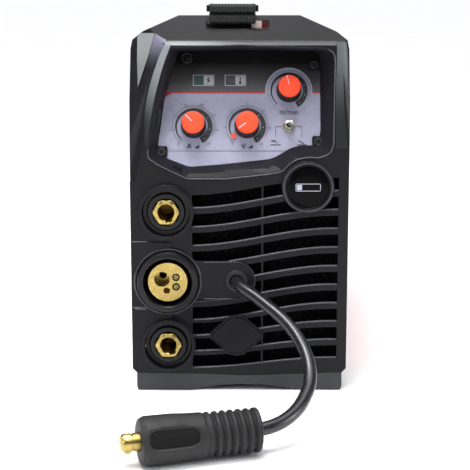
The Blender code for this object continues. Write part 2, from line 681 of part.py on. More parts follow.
def current_sockets():
    """Panel sockets for the welding current: an insulated body and a brass contact with a 13 mm bore."""
    for name, (x, z) in (("positive", POSITIVE), ("negative", NEGATIVE)):
        centre = (x, FRONT, z)
        body = [(0.0108, 0.0005), (0.0150, 0.0005), (0.0152, -0.0012), (0.0189, -0.0012), (0.0189, -0.0055)]
        body += [(0.0160, -0.0055), (0.0155, -0.0300), (0.0108, -0.0300)]
        turned(name + "_socket_body", body, "black_plastic", centre, TO_FRONT, 28, ring=True)
        contact = [(DINSE_BORE, 0.0030), (0.0100, 0.0030), (0.0104, 0.0024), (0.0104, -0.0330)]
        contact += [(0.0050, -0.0330), (0.0050, -0.0440), (0, -0.0440), (0, -0.0280), (DINSE_BORE, -0.0280)]
        turned(name + "_socket_contact", contact, "brass", centre, TO_FRONT, 24, ring=True)


def torch_socket():
    x, z = TORCH
    centre = (x, FRONT, z)
    outside = [(0.0196, REACH), (0.0240, REACH), (0.0248, 0.0070), (0.0248, 0.0006), (0.0225, 0.0006)]
    inside = [(0.0225, -0.0280), (0.0165, -0.0280), (0.0165, -0.0200), (0.0196, -0.0200)]
    turned("torch_socket_collar", outside + inside, "black_plastic", centre, TO_FRONT, 40, ring=True)
    block = rod("torch_socket_block", 0.0160, -0.0560, 0.0040, "brass", centre, TO_FRONT, 36)
    bores = (("wire", WIRE_X - x, WIRE_Z - z, 0.00625, -0.08), ("gas", -0.0008, -0.0071, 0.0026, -0.010))
    for name, dx, dz, radius, depth in bores:
        cut(block, rod(name + "_bore", radius, depth, 0.01, None, (x + dx, FRONT, z + dz), TO_FRONT, 18))
    for name, dz in (("upper", 0.0039), ("lower", -0.0039)):
        spot = (x + 0.0067, FRONT, z + dz)
        cut(block, rod(name + "_trigger_hole", 0.0031, -0.012, 0.01, None, spot, TO_FRONT, 16))
        pin = [(0.0008, 0.0036), (0.0018, 0.0036), (0.0020, 0.0030), (0.0020, -0.0100), (0, -0.0100)]
        pin += [(0, -0.0020), (0.0008, -0.0020)]
        turned("trigger_contact_" + name, pin, "nickel", spot, TO_FRONT, 12, ring=True)


def badge_and_blank():
    x, z = BADGE_AT
    dome = [(0, 0.0032), (0.0120, 0.0029), (0.0170, 0.0020), (0.0175, 0.0009), (0, 0.0009)]
    turned("badge", dome, "black_plastic", (x, FRONT, z), TO_FRONT, 32)
    outline = rhombus(0.0193, 0.0149, BLANK_AT)
    prism("blanking_cover", outline, "Y", FRONT - 0.0022, FRONT + 0.0002, "case_plastic")


# ---------------------------------------------------------------- polarity lead


def lead_points():
    """Points along a smooth curve through the lead's route."""
    route = [Vector((x, FRONT + y, z)) for x, y, z in LEAD_ROUTE]
    ends = [2 * route[0] - route[1], *route, 2 * route[-1] - route[-2]]
    points = []
    for before, start, end, after in zip(ends, ends[1:], ends[2:], ends[3:]):
        for share in (0.0, 0.5):
            curve = 2 * start + (end - before) * share
            curve += (2 * before - 5 * start + 4 * end - after) * share**2
            curve += (3 * start - before - 3 * end + after) * share**3
            points.append(curve / 2)
    return [*points, route[-1]]


def polarity_lead():
    x, z = LEAD_EXIT
    grommet = [(LEAD_RADIUS + 0.0004, 0.0050), (0.0070, 0.0050), (0.0085, 0.0038), (0.0085, 0.0017)]
    grommet += [(0.0075, 0.0017), (0.0075, -0.0110), (LEAD_RADIUS + 0.0004, -0.0110)]
    turned("lead_grommet", grommet, "rubber", (x, FRONT, z), TO_FRONT, 24, ring=True)
    tube("polarity_lead", lead_points(), LEAD_RADIUS, "cord")


def polarity_plug():
    """Cable plug on the floor: a rubber sleeve turned about its own axis, and the brass pin in its front."""
    back = Vector((0, FRONT, 0)) + PLUG_BACK
    facing = PLUG_HEADING.to_track_quat("Z", "Y").to_euler()
    bore = LEAD_RADIUS + 0.0005
    sleeve = [(PIN_RADIUS + GAP, PLUG_LENGTH), (0.0155, PLUG_LENGTH), (0.0174, 0.0835), (0.0174, 0.0640)]
    sleeve += [(0.0162, 0.0460), (0.0150, 0.0320), (0.0148, 0.0060), (0.0105, 0.0000), (bore, 0.0000)]
    sleeve += [(bore, 0.0220), (PIN_RADIUS + GAP, 0.0220)]
    turned("polarity_plug_sleeve", sleeve, "rubber", back, facing, 28, ring=True)
    pin = [(0, 0.1005), (0.0052, 0.1005), (PIN_RADIUS, 0.0975), (PIN_RADIUS, 0.0400), (0, 0.0400)]
    turned("polarity_plug_pin", pin, "brass", back, facing, 20)


# ---------------------------------------------------------------- carrying strap


def strap_path():
    """The webbing's middle line as (y, z): under the front bar, round it, over the top, round the rear bar."""
    middle = (SLOT_Z[1] + HEIGHT) / 2
    radius = 0.0035
    tail = [(0.060, middle - 0.0012), (0.047, middle - 0.0020), (0.034, middle - radius)]
    front = [*tail, (0.010, middle - radius), *arc((0.010, middle), radius, 270, 90, 6)[1:]]
    rear = [(BACK - depth, z - REAR_DROP) for depth, z in reversed(front)]
    return [(FRONT + depth, z) for depth, z in front] + rear


def carry_strap():
    path = strap_path()
    shape = bmesh.new()
    left, right = (
        [shape.verts.new((STRAP_X + side * STRAP_WIDTH / 2, y, z)) for y, z in path] for side in (-1, 1)
    )
    for index in range(len(path) - 1):
        shape.faces.new((left[index], left[index + 1], right[index + 1], right[index]))
    mesh = bpy.data.meshes.new("carry_strap")
    shape.to_mesh(mesh)
    shape.free()
    strap = add("carry_strap", mesh, "webbing")
    thickness = strap.modifiers.new("Thickness", "SOLIDIFY")
    thickness.thickness = STRAP_THICK
    thickness.offset = 0


def strap_slider():
    """A ladder buckle that lies on the strap, with two slots for the folded webbing."""
    low = HEIGHT + 0.0027
    corners = (STRAP_X - 0.0205, FRONT + 0.0150, low), (STRAP_X + 0.0205, FRONT + 0.0350, 0.3125)
    slider = box("strap_slider", *corners, "black_plastic")
    half = STRAP_WIDTH / 2 + GAP
    for index, y in enumerate((FRONT + 0.0175, FRONT + 0.0265)):
        corners = (STRAP_X - half, y, low - 0.01), (STRAP_X + half, y + 0.006, 0.33)
        cut(slider, box(f"slider_window_{index}", *corners))


# ---------------------------------------------------------------- wire feed


def drive_axis_z():
    return WIRE_Z - WIRE_RADIUS - GAP - DRIVE_RADIUS


def wire_spool():
    """A 200 mm spool with its wire, on a fixed axle that stands on the partition."""
    x, y, z = SPOOL_AT
    half = SPOOL_WIDTH / 2
    axle = [(0, half + 0.0020), (0.0080, half + 0.0020), (0.0080, half - 0.0040), (0.0240, half - 0.0040)]
    axle += [(0.0240, -half), (0.0300, -half), (0.0300, x - PARTITION_X + GAP), (0, x - PARTITION_X + GAP)]
    turned("spool_hub", axle, "black_plastic", SPOOL_AT, TO_LEFT, 28)
    rim = SPOOL_RADIUS
    spool = [(0.0255, half - 0.0060), (0.0260, half), (rim, half), (rim, half - 0.0030)]
    spool += [(0.0450, half - 0.0030), (0.0450, -half + 0.0055), (rim, -half + 0.0055)]
    spool += [(rim, -half + 0.0025), (0.0320, -half + 0.0025), (0.0255, -half + 0.0025)]
    turned("wire_spool", spool, "black_plastic", SPOOL_AT, TO_LEFT, 48, ring=True)
    coil = half - 0.0033
    pipe("wire_coil", 0.0453, COIL_RADIUS, -coil + 0.0026, coil, "copper_wire", SPOOL_AT, TO_LEFT, 48)
    nut = [(0.0084, half + 0.0042), (0.0180, half + 0.0042), (0.0200, half + 0.0030), (0.0200, half - 0.0036)]
    turned("spool_nut", [*nut, (0.0084, half - 0.0036)], "black_plastic", SPOOL_AT, TO_LEFT, 16, ring=True)


def feeder_frame():
    inner = PARTITION_X - GAP
    low, high = (-0.0565, -0.1000, 0.0500), (inner, -0.0380, 0.0860)
    frame = box("feeder_frame", low, high, "aluminium")
    _, y, z = SCREW_PIVOT
    front_lug = box("front_lug", (-0.0430, y - 0.0080, z - 0.0120), (-0.0300, -0.0990, z + 0.0050))
    _, arm_y, arm_z = ARM_PIVOT
    rear_lug = box("rear_lug", (-0.0430, arm_y - 0.0070, 0.0600), (-0.0300, arm_y + 0.0070, arm_z + 0.0060))
    join(frame, front_lug, rear_lug)
    shaft = (-0.0565, ROLL_Y, drive_axis_z())
    cut(frame, rod("drive_bore", 0.0044, -0.05, 0.02, None, shaft, TO_LEFT, 20))
    for name, spot in (("screw_pin_bore", SCREW_PIVOT), ("arm_pin_bore", ARM_PIVOT)):
        cut(frame, rod(name, 0.0028, -0.012, 0.02, None, (-0.0430, *spot[1:]), TO_LEFT, 16))


def feed_motor():
    """Gear motor on the electronics side of the partition; its shaft ends inside the feeder frame."""
    start = PARTITION_X + SHEET + GAP
    centre = (start, ROLL_Y, drive_axis_z())
    profile = [(0, 0.0600), (0.0200, 0.0600), (0.0200, 0.0220), (0.0245, 0.0220), (0.0245, 0), (0.0100, 0)]
    profile += [(0.0100, -0.0016), (0.0040, -0.0016), (0.0040, -0.0160), (0, -0.0160)]
    turned("feed_motor", profile, "zinc_steel", centre, TO_RIGHT, 24)


def rolls():
    axle = (WIRE_X, ROLL_Y, drive_axis_z())
    width, groove = 0.0050, 0.0004
    drive = [(0, width + 0.001), (0.0050, width + 0.001), (0.0050, width), (DRIVE_RADIUS, width)]
    drive += [(DRIVE_RADIUS, groove), (DRIVE_RADIUS - 0.0003, 0), (DRIVE_RADIUS, -groove)]
    drive += [(DRIVE_RADIUS, -width), (0.0040, -width), (0.0040, -0.0200), (0, -0.0200)]
    turned("drive_roll", drive, "nickel", axle, TO_LEFT, 32)
    axle = (WIRE_X, ROLL_Y, WIRE_Z + WIRE_RADIUS + GAP + PRESSURE_RADIUS)
    press = [(0, width), (0.0040, width), (0.0040, 0.0040), (PRESSURE_RADIUS, 0.0040)]
    press += [(PRESSURE_RADIUS, -0.0040), (0.0030, -0.0040), (0.0030, -0.0130), (0, -0.0130)]
    turned("pressure_roll", press, "nickel", axle, TO_LEFT, 28)


def pressure_arm():
    """The arm that holds the upper roll: hinged at the rear, forked at the front for the tension screw."""
    _, pivot_y, pivot_z = ARM_PIVOT
    _, screw_y, _ = SCREW_PIVOT
    outline = [(pivot_y + 0.006, pivot_z - 0.006), (pivot_y + 0.006, pivot_z + 0.006)]
    outline += [(screw_y - 0.005, pivot_z + 0.004), (screw_y - 0.005, pivot_z - 0.003)]
    outline += [(ROLL_Y - 0.018, pivot_z - 0.008), (ROLL_Y + 0.016, pivot_z - 0.016)]
    arm = prism("pressure_arm", outline, "X", *ARM_X, "aluminium")
    slot_middle = sum(ARM_X) / 2
    slot_low = (slot_middle - 0.0027, screw_y - 0.02, 0.08)
    slot_high = (slot_middle + 0.0027, screw_y + 0.0030, 0.15)
    slot = box("fork_slot", slot_low, slot_high)
    pin = rod("arm_pin", 0.0025, -0.0080, 0.0020, None, (ARM_X[1] - 0.001, pivot_y, pivot_z), TO_LEFT, 16)
    roll_z = WIRE_Z + WIRE_RADIUS + GAP + PRESSURE_RADIUS
    bore = rod("roll_bore", 0.0034, -0.0120, 0.02, None, (ARM_X[0], ROLL_Y, roll_z), TO_LEFT, 16)
    cut(join(arm, pin), slot, bore)
    set_pivot(arm, (sum(ARM_X) / 2, pivot_y, pivot_z))


def tension_screw():
    """The screw swings on a pin in the front lug, and its knob turns on its thread."""
    _, y, z = SCREW_PIVOT
    centre = (sum(ARM_X) / 2, y, z)
    screw = rod("tension_screw", 0.0020, 0, 0.0600, "nickel", centre, UPWARD, 12)
    eye = rod("screw_eye", 0.0040, -0.0130, 0.0040, None, centre, TO_LEFT, 16)
    cut(eye, box("eye_side", (-0.01, -0.01, -0.02), (0.01, 0.01, -0.0130), None, centre, TO_LEFT))
    join(screw, rod("screw_boss", 0.0040, -0.0040, 0.0040, None, centre, TO_LEFT, 16))
    join(screw, rod("screw_pin", 0.0025, -0.0140, 0.0, None, centre, TO_LEFT, 16))
    knob = [(0.0023, 0.0650), (0.0060, 0.0650), (0.0080, 0.0630), (0.0080, 0.0480)]
    knob += [(0.0060, 0.0425), (0.0023, 0.0425)]
    turned("tension_knob", knob, "black_plastic", centre, UPWARD, 16, ring=True)


def welding_wire():
    """The wire from the underside of the coil, over the drive roll and into the torch socket."""
    _, y, z = SPOOL_AT
    guide_y = -0.0440
    reach = math.hypot(y - guide_y, z - WIRE_Z)
    radius = COIL_RADIUS + WIRE_RADIUS + GAP
    turn = math.atan2(WIRE_Z - z, guide_y - y) + math.acos(radius / reach)
    leave = (WIRE_X, y + radius * math.cos(turn), z + radius * math.sin(turn))
    run = [leave, (WIRE_X, guide_y, WIRE_Z), (WIRE_X, -0.100, WIRE_Z), (WIRE_X, FRONT + 0.020, WIRE_Z)]
    tube("welding_wire", run, WIRE_RADIUS, "copper_wire")


# ---------------------------------------------------------------- electronics and rear parts


def fan():
    x, z = FAN_AT
    half = FAN_SIZE / 2
    corners = (x - half, FAN_Y, z - half), (x + half, FAN_Y + 0.025, z + half)
    frame = box("fan_frame", *corners, "black_plastic")
    cut(frame, rod("fan_tunnel", 0.0430, -0.01, 0.05, None, (x, FAN_Y, z), TO_BACK, 40))
    centre = (x, FAN_Y, z)
    for index, angle in enumerate((45, 135)):
        low, high = (-0.045, -0.0025, 0.0005), (0.045, 0.0025, 0.0035)
        spoke = box(f"fan_spoke_{index}", low, high, None, centre, TO_BACK)
        spoke.rotation_euler.rotate_axis("Z", math.radians(angle))
        join(frame, spoke)
    join(frame, rod("fan_motor_mount", 0.0180, 0.0005, 0.0045, None, centre, TO_BACK, 24))
    rotor = rod("fan_rotor", 0.0190, 0.0060, 0.0230, "black_plastic", centre, TO_BACK, 24)
    for index in range(7):
        blade = box(f"fan_blade_{index}", (0.0170, -0.0125, -0.0008), (0.0405, 0.0125, 0.0008))
        turn = Matrix.Rotation(math.tau * index / 7, 4, "Z") @ Matrix.Translation((0, 0, 0.0145))
        blade.data.transform(turn @ Matrix.Rotation(math.radians(32), 4, "X"))
        blade.location = centre
        blade.rotation_euler = TO_BACK
        join(rotor, blade)


def power_switch():
    x, z = SWITCH_BODY
    corners = (x - 0.0135, BACK + GAP, z - 0.0180), (x + 0.0135, BACK + 0.0020, z + 0.0180)
    switch = box("power_switch_body", *corners, "black_plastic")
    corners = (x - 0.0105, BACK - 0.0240, z - 0.0150), (x + 0.0105, BACK + 0.001, z + 0.0150)
    join(switch, box("switch_case", *corners))
    corners = (x - 0.0075, BACK - 0.0120, z - 0.0120), (x + 0.0075, BACK + 0.01, z + 0.0120)
    cut(switch, box("switch_well", *corners))
    outline = [(-0.0085, -0.0040), (0.0085, -0.0040), (0.0108, 0.0012), (0.0, 0.0022), (-0.0108, 0.0012)]
    rocker = prism("power_switch_rocker", outline, "X", -0.0072, 0.0072, "black_plastic")
    rocker.location = (x, BACK - 0.0005, z)
    rocker.rotation_euler = (-math.pi / 2 + ROCKER_TILT, 0, 0)


def rear_inlets():
    """The mains cable's gland, the gas inlet and its valve behind the bezel."""
    gland = [(0.0055, REACH), (0.0095, REACH), (0.0120, 0.0060), (0.0125, GAP), (0.0100, GAP)]
    gland += [(0.0100, -0.0160), (0.0055, -0.0160)]
    spot = (MAINS_AT[0], BACK, MAINS_AT[1])
    turned("mains_cable_gland", gland, "black_plastic", spot, TO_BACK, 20, ring=True)
    inlet = [(0.0020, REACH), (0.0042, REACH), (0.0055, 0.0062), (0.0042, 0.0050), (0.0042, 0.0040)]
    inlet += [(0.0105, 0.0040), (0.0105, GAP), (0.0080, GAP), (0.0080, -0.0140), (0.0020, -0.0140)]
    x, z = GAS_AT
    turned("gas_inlet", inlet, "brass", (x, BACK, z), TO_BACK, 20, ring=True)
    valve_low, valve_high = (x - 0.0140, BACK - 0.0440, z - 0.0170), (x + 0.0140, BACK - 0.0150, z + 0.0180)
    round_edges(box("gas_valve", valve_low, valve_high, "brass"), 0.002)


def heatsink():
    """Aluminium profile with its fins down, lying along the fan's air stream."""
    left, right, base, top, foot = -0.0120, 0.0620, 0.1500, 0.1560, 0.1180
    fins, fin = 9, 0.0022
    pitch = (right - left - fin) / (fins - 1)
    outline = [(left, top), (right, top)]
    for index in reversed(range(fins)):
        start = left + pitch * index
        outline += [(start + fin, base), (start + fin, foot), (start, foot), (start, base)]
    outline = [point for point in outline if point not in ((right, base), (left, base))]
    prism("heatsink", outline, "Y", -0.0150, 0.1350, "aluminium")


def electronics():
    board = box("main_board", (0.0705, -0.1350, 0.0400), (0.0721, 0.1450, 0.2400), "circuit_board")
    for name, y in (("front_capacitor", -0.060), ("middle_capacitor", 0.000), ("rear_capacitor", 0.060)):
        join(board, rod(name, 0.0160, -0.0410, 0.0005, None, (0.0705, y, 0.205), TO_RIGHT, 20))
    core = box("transformer", (-0.0080, -0.0200, 0.0120), (0.0580, 0.0450, 0.0700), "black_plastic")
    round_edges(core, 0.004)
    floor = FLOOR_Z + SHEET + GAP
    choke = (0.0250, 0.1000, floor)
    pipe("output_choke", 0.0150, 0.0330, 0.0, 0.0400, "copper_wire", choke, UPWARD, 28)


# ---------------------------------------------------------------- the machine


def build():
    for make in (
        front_bezel, rear_bezel, base_pan, outer_cover, side_door, door_latches, partition, control_plate,
        indicator_lenses, knobs, control_board, mode_switch, current_sockets, torch_socket, badge_and_blank,
        polarity_lead, polarity_plug, carry_strap, strap_slider, wire_spool, feeder_frame, feed_motor, rolls,
        pressure_arm, tension_screw, welding_wire, fan, power_switch, rear_inlets, heatsink, electronics,
    ):
        make()
    for obj in PARTS.objects:
        if obj.type == "MESH":
            obj.data.shade_smooth()
            obj.data.set_sharp_from_angle(angle=math.radians(30))


build()
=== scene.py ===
"""The looks of a compact MIG welding machine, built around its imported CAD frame.

Metres, +Z up, the front faces -Y and +X is on the right seen from the front.
"""

import json
import math

import bmesh
import bpy
from mathutils import Matrix, Vector


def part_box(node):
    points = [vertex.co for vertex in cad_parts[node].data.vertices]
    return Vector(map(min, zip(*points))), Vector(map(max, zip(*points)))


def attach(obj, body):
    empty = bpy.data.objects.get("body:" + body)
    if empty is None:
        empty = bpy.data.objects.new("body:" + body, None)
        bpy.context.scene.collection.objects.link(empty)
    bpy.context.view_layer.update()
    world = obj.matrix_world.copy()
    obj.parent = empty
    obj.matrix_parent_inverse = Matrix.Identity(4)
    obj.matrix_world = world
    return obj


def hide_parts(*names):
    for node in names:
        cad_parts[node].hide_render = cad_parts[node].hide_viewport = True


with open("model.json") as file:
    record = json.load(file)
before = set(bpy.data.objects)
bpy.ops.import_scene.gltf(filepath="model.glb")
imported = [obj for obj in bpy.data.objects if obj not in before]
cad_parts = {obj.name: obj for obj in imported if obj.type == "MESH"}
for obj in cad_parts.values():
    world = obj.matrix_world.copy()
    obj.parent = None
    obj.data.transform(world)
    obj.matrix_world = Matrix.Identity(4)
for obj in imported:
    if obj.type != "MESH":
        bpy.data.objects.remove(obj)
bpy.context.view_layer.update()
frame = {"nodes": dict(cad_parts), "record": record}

JOINTS = {joint["name"]: joint for joint in frame["record"]["behaviour"]["joints"]}
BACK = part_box("rear_bezel")[1][1]
FRONT = -BACK
DOOR_FACE_X = -0.0862

# The tilted control plate
TILT = math.radians(19)
PLATE_FOOT_Z = 0.190
PLATE_FOOT_DEPTH = 0.007

# Which way each face looks: the directions on it that are right and up
UP = (0, 0, 1)
FACING_FRONT = ((1, 0, 0), UP)
FACING_BACK = ((-1, 0, 0), UP)
FACING_LEFT = ((0, -1, 0), UP)
FACING_RIGHT = ((0, 1, 0), UP)
FACING_UP = ((1, 0, 0), (0, 1, 0))
FACING_PANEL = ((1, 0, 0), (0, math.sin(TILT), math.cos(TILT)))

# ---------------------------------------------------------------- places and shapes


def local_frame(origin, facing):
    """Turns (right, up, out) coordinates on a face into the machine's."""
    right, up = (Vector(direction).normalized() for direction in facing)
    turn = Matrix((right, up, right.cross(up))).transposed().to_4x4()
    return Matrix.Translation(origin) @ turn


def plate_y(z):
    """The depth of the control plate's face at a height."""
    return FRONT + PLATE_FOOT_DEPTH + (z - PLATE_FOOT_Z) * math.tan(TILT)


PANEL = local_frame((0, plate_y(PLATE_FOOT_Z), PLATE_FOOT_Z), FACING_PANEL)


def on_panel(x, z):
    """Where a point of the control plate is in the plate's own (right, up) coordinates."""
    return x, (z - PLATE_FOOT_Z) / math.cos(TILT)


def middle(node):
    """The middle of a CAD node's box."""
    low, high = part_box(node)
    return (Vector(low) + Vector(high)) / 2


def front_frame(node):
    """The frame on the front plane, in line with the middle of a node."""
    spot = middle(node)
    return local_frame((spot.x, FRONT, spot.z), FACING_FRONT)


def joint_frame(joint, facing):
    return local_frame(JOINTS[joint]["pos_m"], facing)


def clock(centre, radius, angle):
    """The point at an angle, in degrees clockwise from straight up."""
    turn = math.radians(angle)
    return centre[0] + radius * math.sin(turn), centre[1] + radius * math.cos(turn)


def band(centre, inner, outer, start, end, steps=40):
    """The outline of a band round a centre; inner and outer are its radii at the start and at the end."""
    shares = evenly(0, 1, steps)

    def edge(radii, share):
        return clock(centre, radii[0] + (radii[1] - radii[0]) * share, start + (end - start) * share)

    return [edge(outer, share) for share in shares] + [edge(inner, share) for share in reversed(shares)]


def rectangle(left, bottom, right, top):
    return [(left, bottom), (right, bottom), (right, top), (left, top)]


def disc(centre, radius, steps=48):
    return [clock(centre, radius, -360 * step / steps) for step in range(steps)]


def evenly(start, end, steps):
    """Numbers from start to end, both included."""
    return [start + (end - start) * step / steps for step in range(steps + 1)]


def arc(centre, radius, start, end, steps):
    """Points round a centre between two angles, in degrees anticlockwise from the right."""
    turns = [math.radians(angle) for angle in evenly(start, end, steps)]
    return [(centre[0] + radius * math.cos(turn), centre[1] + radius * math.sin(turn)) for turn in turns]


def circle(centre, radius, steps):
    return arc(centre, radius, 0, 360, steps)[:-1]


def hexagon(radius, turn=0):
    """The reach of a hexagon at an angle, as a radius for lathe."""
    sixth = math.pi / 3
    return lambda angle: radius * math.cos(sixth / 2) / math.cos((angle + turn) % sixth - sixth / 2)


def rounded(left, bottom, right, top, radius, steps=5):
    """A rectangle with round corners."""
    centres = ((right - radius, top - radius), (left + radius, top - radius),
               (left + radius, bottom + radius), (right - radius, bottom + radius))
    outline = []
    for quarter, centre in enumerate(centres):
        outline += arc(centre, radius, 90 * quarter, 90 * quarter + 90, steps)
    return outline


def line(start, end, width):
    """A straight stroke as an outline."""
    start, end = Vector(start), Vector(end)
    side = (end - start).orthogonal().normalized() * width / 2
    return [tuple(start + side), tuple(start - side), tuple(end - side), tuple(end + side)]


def frame_lines(left, bottom, right, top, width):
    """The four strokes of a rectangular outline."""
    return [
        rectangle(left, bottom, right, bottom + width),
        rectangle(left, top - width, right, top),
        rectangle(left, bottom, left + width, top),
        rectangle(right - width, bottom, right, top),
    ]


def bridge(shape, first, second):
    """Faces between two loops of points; a loop of one point is a pole."""
    count = max(len(first), len(second))
    for index in range(count):
        after = (index + 1) % count
        corners = [first[index % len(first)], first[after % len(first)]]
        corners += [second[after % len(second)], second[index % len(second)]]
        corners = list(dict.fromkeys(corners))
        if len(corners) > 2:
            shape.faces.new(corners)


def prism(outline, low, high, shape=None):
    """Adds an outline of (right, up) points, pulled from low to high along out."""
    shape = shape or bmesh.new()
    bottom = [shape.verts.new((x, y, low)) for x, y in outline]
    top = [shape.verts.new((x, y, high)) for x, y in outline]
    shape.faces.new(bottom)
    shape.faces.new(top)
    bridge(shape, bottom, top)
    return shape


def prisms(outlines, low, high):
    shape = bmesh.new()
    for outline in outlines:
        prism(outline, low, high, shape)
    return shape


def lathe(profile, segments=64, ring=False, centre=(0, 0), shape=None):
    """Adds a profile of (radius, height) turned about out. A radius may be a function of the angle."""
    shape = shape or bmesh.new()
    loops = []
    for radius, height in profile:
        if radius == 0:
            loops.append([shape.verts.new((*centre, height))])
            continue
        loop = []
        for step in range(segments):
            angle = math.tau * step / segments
            reach = radius(angle) if callable(radius) else radius
            x, y = centre[0] + reach * math.cos(angle), centre[1] + reach * math.sin(angle)
            loop.append(shape.verts.new((x, y, height)))
        loops.append(loop)
    for first, second in zip(loops, loops[1:] + loops[:1] * ring):
        bridge(shape, first, second)
    return shape


def hoop(loops, shape=None):
    """Adds a closed band through loops of points, joined from the last loop back to the first."""
    shape = shape or bmesh.new()
    loops = [[shape.verts.new(point) for point in loop] for loop in loops]
    for first, second in zip(loops, loops[1:] + loops[:1]):
        bridge(shape, first, second)
    return shape


def sweep(rings, shape=None, ends=(0, -1)):
    """Adds a skin through rings of points, with a flat face on the rings at its ends."""
    shape = shape or bmesh.new()
    loops = [[shape.verts.new(point) for point in ring] for ring in rings]
    for first, second in zip(loops, loops[1:]):
        bridge(shape, first, second)
    for end in ends:
        shape.faces.new(loops[end])
    return shape


def smoothstep(share):
    share = min(max(share, 0), 1)
    return share * share * (3 - 2 * share)


def catmull_rom(route, shares):
    """Points along a smooth curve through a route."""
    ends = [2 * route[0] - route[1], *route, 2 * route[-1] - route[-2]]
    points = []
    for before, start, end, after in zip(ends, ends[1:], ends[2:], ends[3:]):
        for share in shares:
            curve = 2 * start + (end - before) * share
            curve += (2 * before - 5 * start + 4 * end - after) * share**2
            curve += (3 * start - before - 3 * end + after) * share**3
            points.append(curve / 2)
    return [*points, route[-1]]


# ---------------------------------------------------------------- materials


def linear(value):
    share = value / 255
    return share / 12.92 if share <= 0.04045 else ((share + 0.055) / 1.055) ** 2.4


def colour(red, green, blue):
    return (linear(red), linear(green), linear(blue), 1)


def shaded(tone, factor):
    return (*(min(channel * factor, 1) for channel in tone[:3]), 1)


class Look:
    """A material whose nodes are added by short calls."""

    def __init__(self, name, roughness, metallic=0.0, coat=0.0, specular=0.5):
        self.material = bpy.data.materials.new(name)
        self.material.use_nodes = True
        self.tree = self.material.node_tree
        self.shader = self.tree.nodes["Principled BSDF"]
        self.shader.inputs["Roughness"].default_value = roughness
        self.shader.inputs["Metallic"].default_value = metallic
        self.shader.inputs["Coat Weight"].default_value = coat
        self.shader.inputs["Coat Roughness"].default_value = 0.12
        self.shader.inputs["Specular IOR Level"].default_value = specular

    def add(self, kind, inputs, **settings):
        made = self.tree.nodes.new(kind)
        for key, value in settings.items():
            setattr(made, key, value)
        for key, value in inputs.items():
            self.put(made.inputs[key], value)
        return made

    def put(self, socket, value):
        if isinstance(value, bpy.types.NodeSocket):
            self.tree.links.new(value, socket)
        else:
            socket.default_value = value

    def place(self, stretch=(1, 1, 1), source="Object"):
        spot = self.add("ShaderNodeTexCoord", {}).outputs[source]
        return self.add("ShaderNodeMapping", {"Vector": spot, "Scale": stretch}).outputs[0]

    def noise(self, scale, detail=3.0, stretch=(1, 1, 1)):
        inputs = {"Vector": self.place(stretch), "Scale": scale, "Detail": detail}
        return self.add("ShaderNodeTexNoise", inputs).outputs[0]

    def maths(self, operation, first, second=0.0):
        return self.add("ShaderNodeMath", {0: first, 1: second}, operation=operation).outputs[0]

    def spread(self, value, low, high, start=0.3, end=0.7):
        """Maps a value from start..end to low..high."""
        return self.add("ShaderNodeMapRange", {0: value, 1: start, 2: end, 3: low, 4: high}).outputs[0]

    def mix(self, share, first, second):
        inputs = {0: share, 6: first, 7: second}
        return self.add("ShaderNodeMix", inputs, data_type="RGBA").outputs[2]

    def bump(self, height, depth, strength=1.0, normal=None):
        inputs = {"Height": height, "Distance": depth, "Strength": strength}
        if normal is not None:
            inputs["Normal"] = normal
        return self.add("ShaderNodeBump", inputs).outputs[0]

    def rounding(self, radius):
        """Rounds sharp edges in the shading; returns the normal and how much of an edge is near."""
        soft = self.add("ShaderNodeBevel", {"Radius": radius}, samples=6).outputs[0]
        sharp = self.add("ShaderNodeNewGeometry", {}).outputs["Normal"]
        along = self.add("ShaderNodeVectorMath", {0: soft, 1: sharp}, operation="DOT_PRODUCT")
        return soft, self.maths("SUBTRACT", 1.0, along.outputs["Value"])

    def finish(self, tone, roughness=None, normal=None):
        self.put(self.shader.inputs["Base Color"], tone)
        if roughness is not None:
            self.put(self.shader.inputs["Roughness"], roughness)
        if normal is not None:
            self.put(self.shader.inputs["Normal"], normal)
        return self.material


def moulded(name, tone, roughness, grain=0.00002, grain_scale=1500, edge=0.0008, wear=1.5, specular=0.5):
    """Moulded plastic or rubber: fine texture, faint mottling and edges polished by handling."""
    look = Look(name, roughness, specular=specular)
    soft, near_edge = look.rounding(edge)
    mottled = look.mix(look.spread(look.noise(55, 4), 0, 1), shaded(tone, 0.92), shaded(tone, 1.08))
    worn = look.mix(look.spread(near_edge, 0, 0.6, 0.02, 0.35), mottled, shaded(tone, wear))
    shine = look.spread(look.noise(160, 3), roughness - 0.05, roughness + 0.06)
    return look.finish(worn, shine, look.bump(look.noise(grain_scale, 2), grain, 1.0, soft))


def faded(name, bright, dim, axis, start, end):
    """Moulded plastic with a painted highlight that goes from bright to dim between two places along an axis
    (0 is X, 2 is Z).
    """
    look = Look(name, 0.36, specular=0.2)
    spot = look.add("ShaderNodeSeparateXYZ", {0: look.place()}).outputs[axis]
    inputs = {0: spot, 1: start, 2: end, 3: 0, 4: 1}
    share = look.add("ShaderNodeMapRange", inputs, interpolation_type="SMOOTHSTEP").outputs[0]
    tone = look.mix(share, bright, dim)
    mottled = look.mix(look.spread(look.noise(70, 4), 0, 0.12), tone, shaded(dim, 0.5))
    shine = look.spread(look.noise(160, 3), 0.32, 0.42)
    return look.finish(mottled, shine, look.bump(look.noise(1500, 2), 0.00002))


def painted(name, tone, roughness):
    """Powder coat: orange-peel skin with a thin gloss coat."""
    look = Look(name, roughness, coat=0.12)
    mottled = look.mix(look.spread(look.noise(30, 3), 0, 1), shaded(tone, 0.94), shaded(tone, 1.05))
    shine = look.spread(look.noise(200, 3), roughness - 0.04, roughness + 0.07)
    return look.finish(mottled, shine, look.bump(look.noise(420, 2), 0.00003, 0.6))


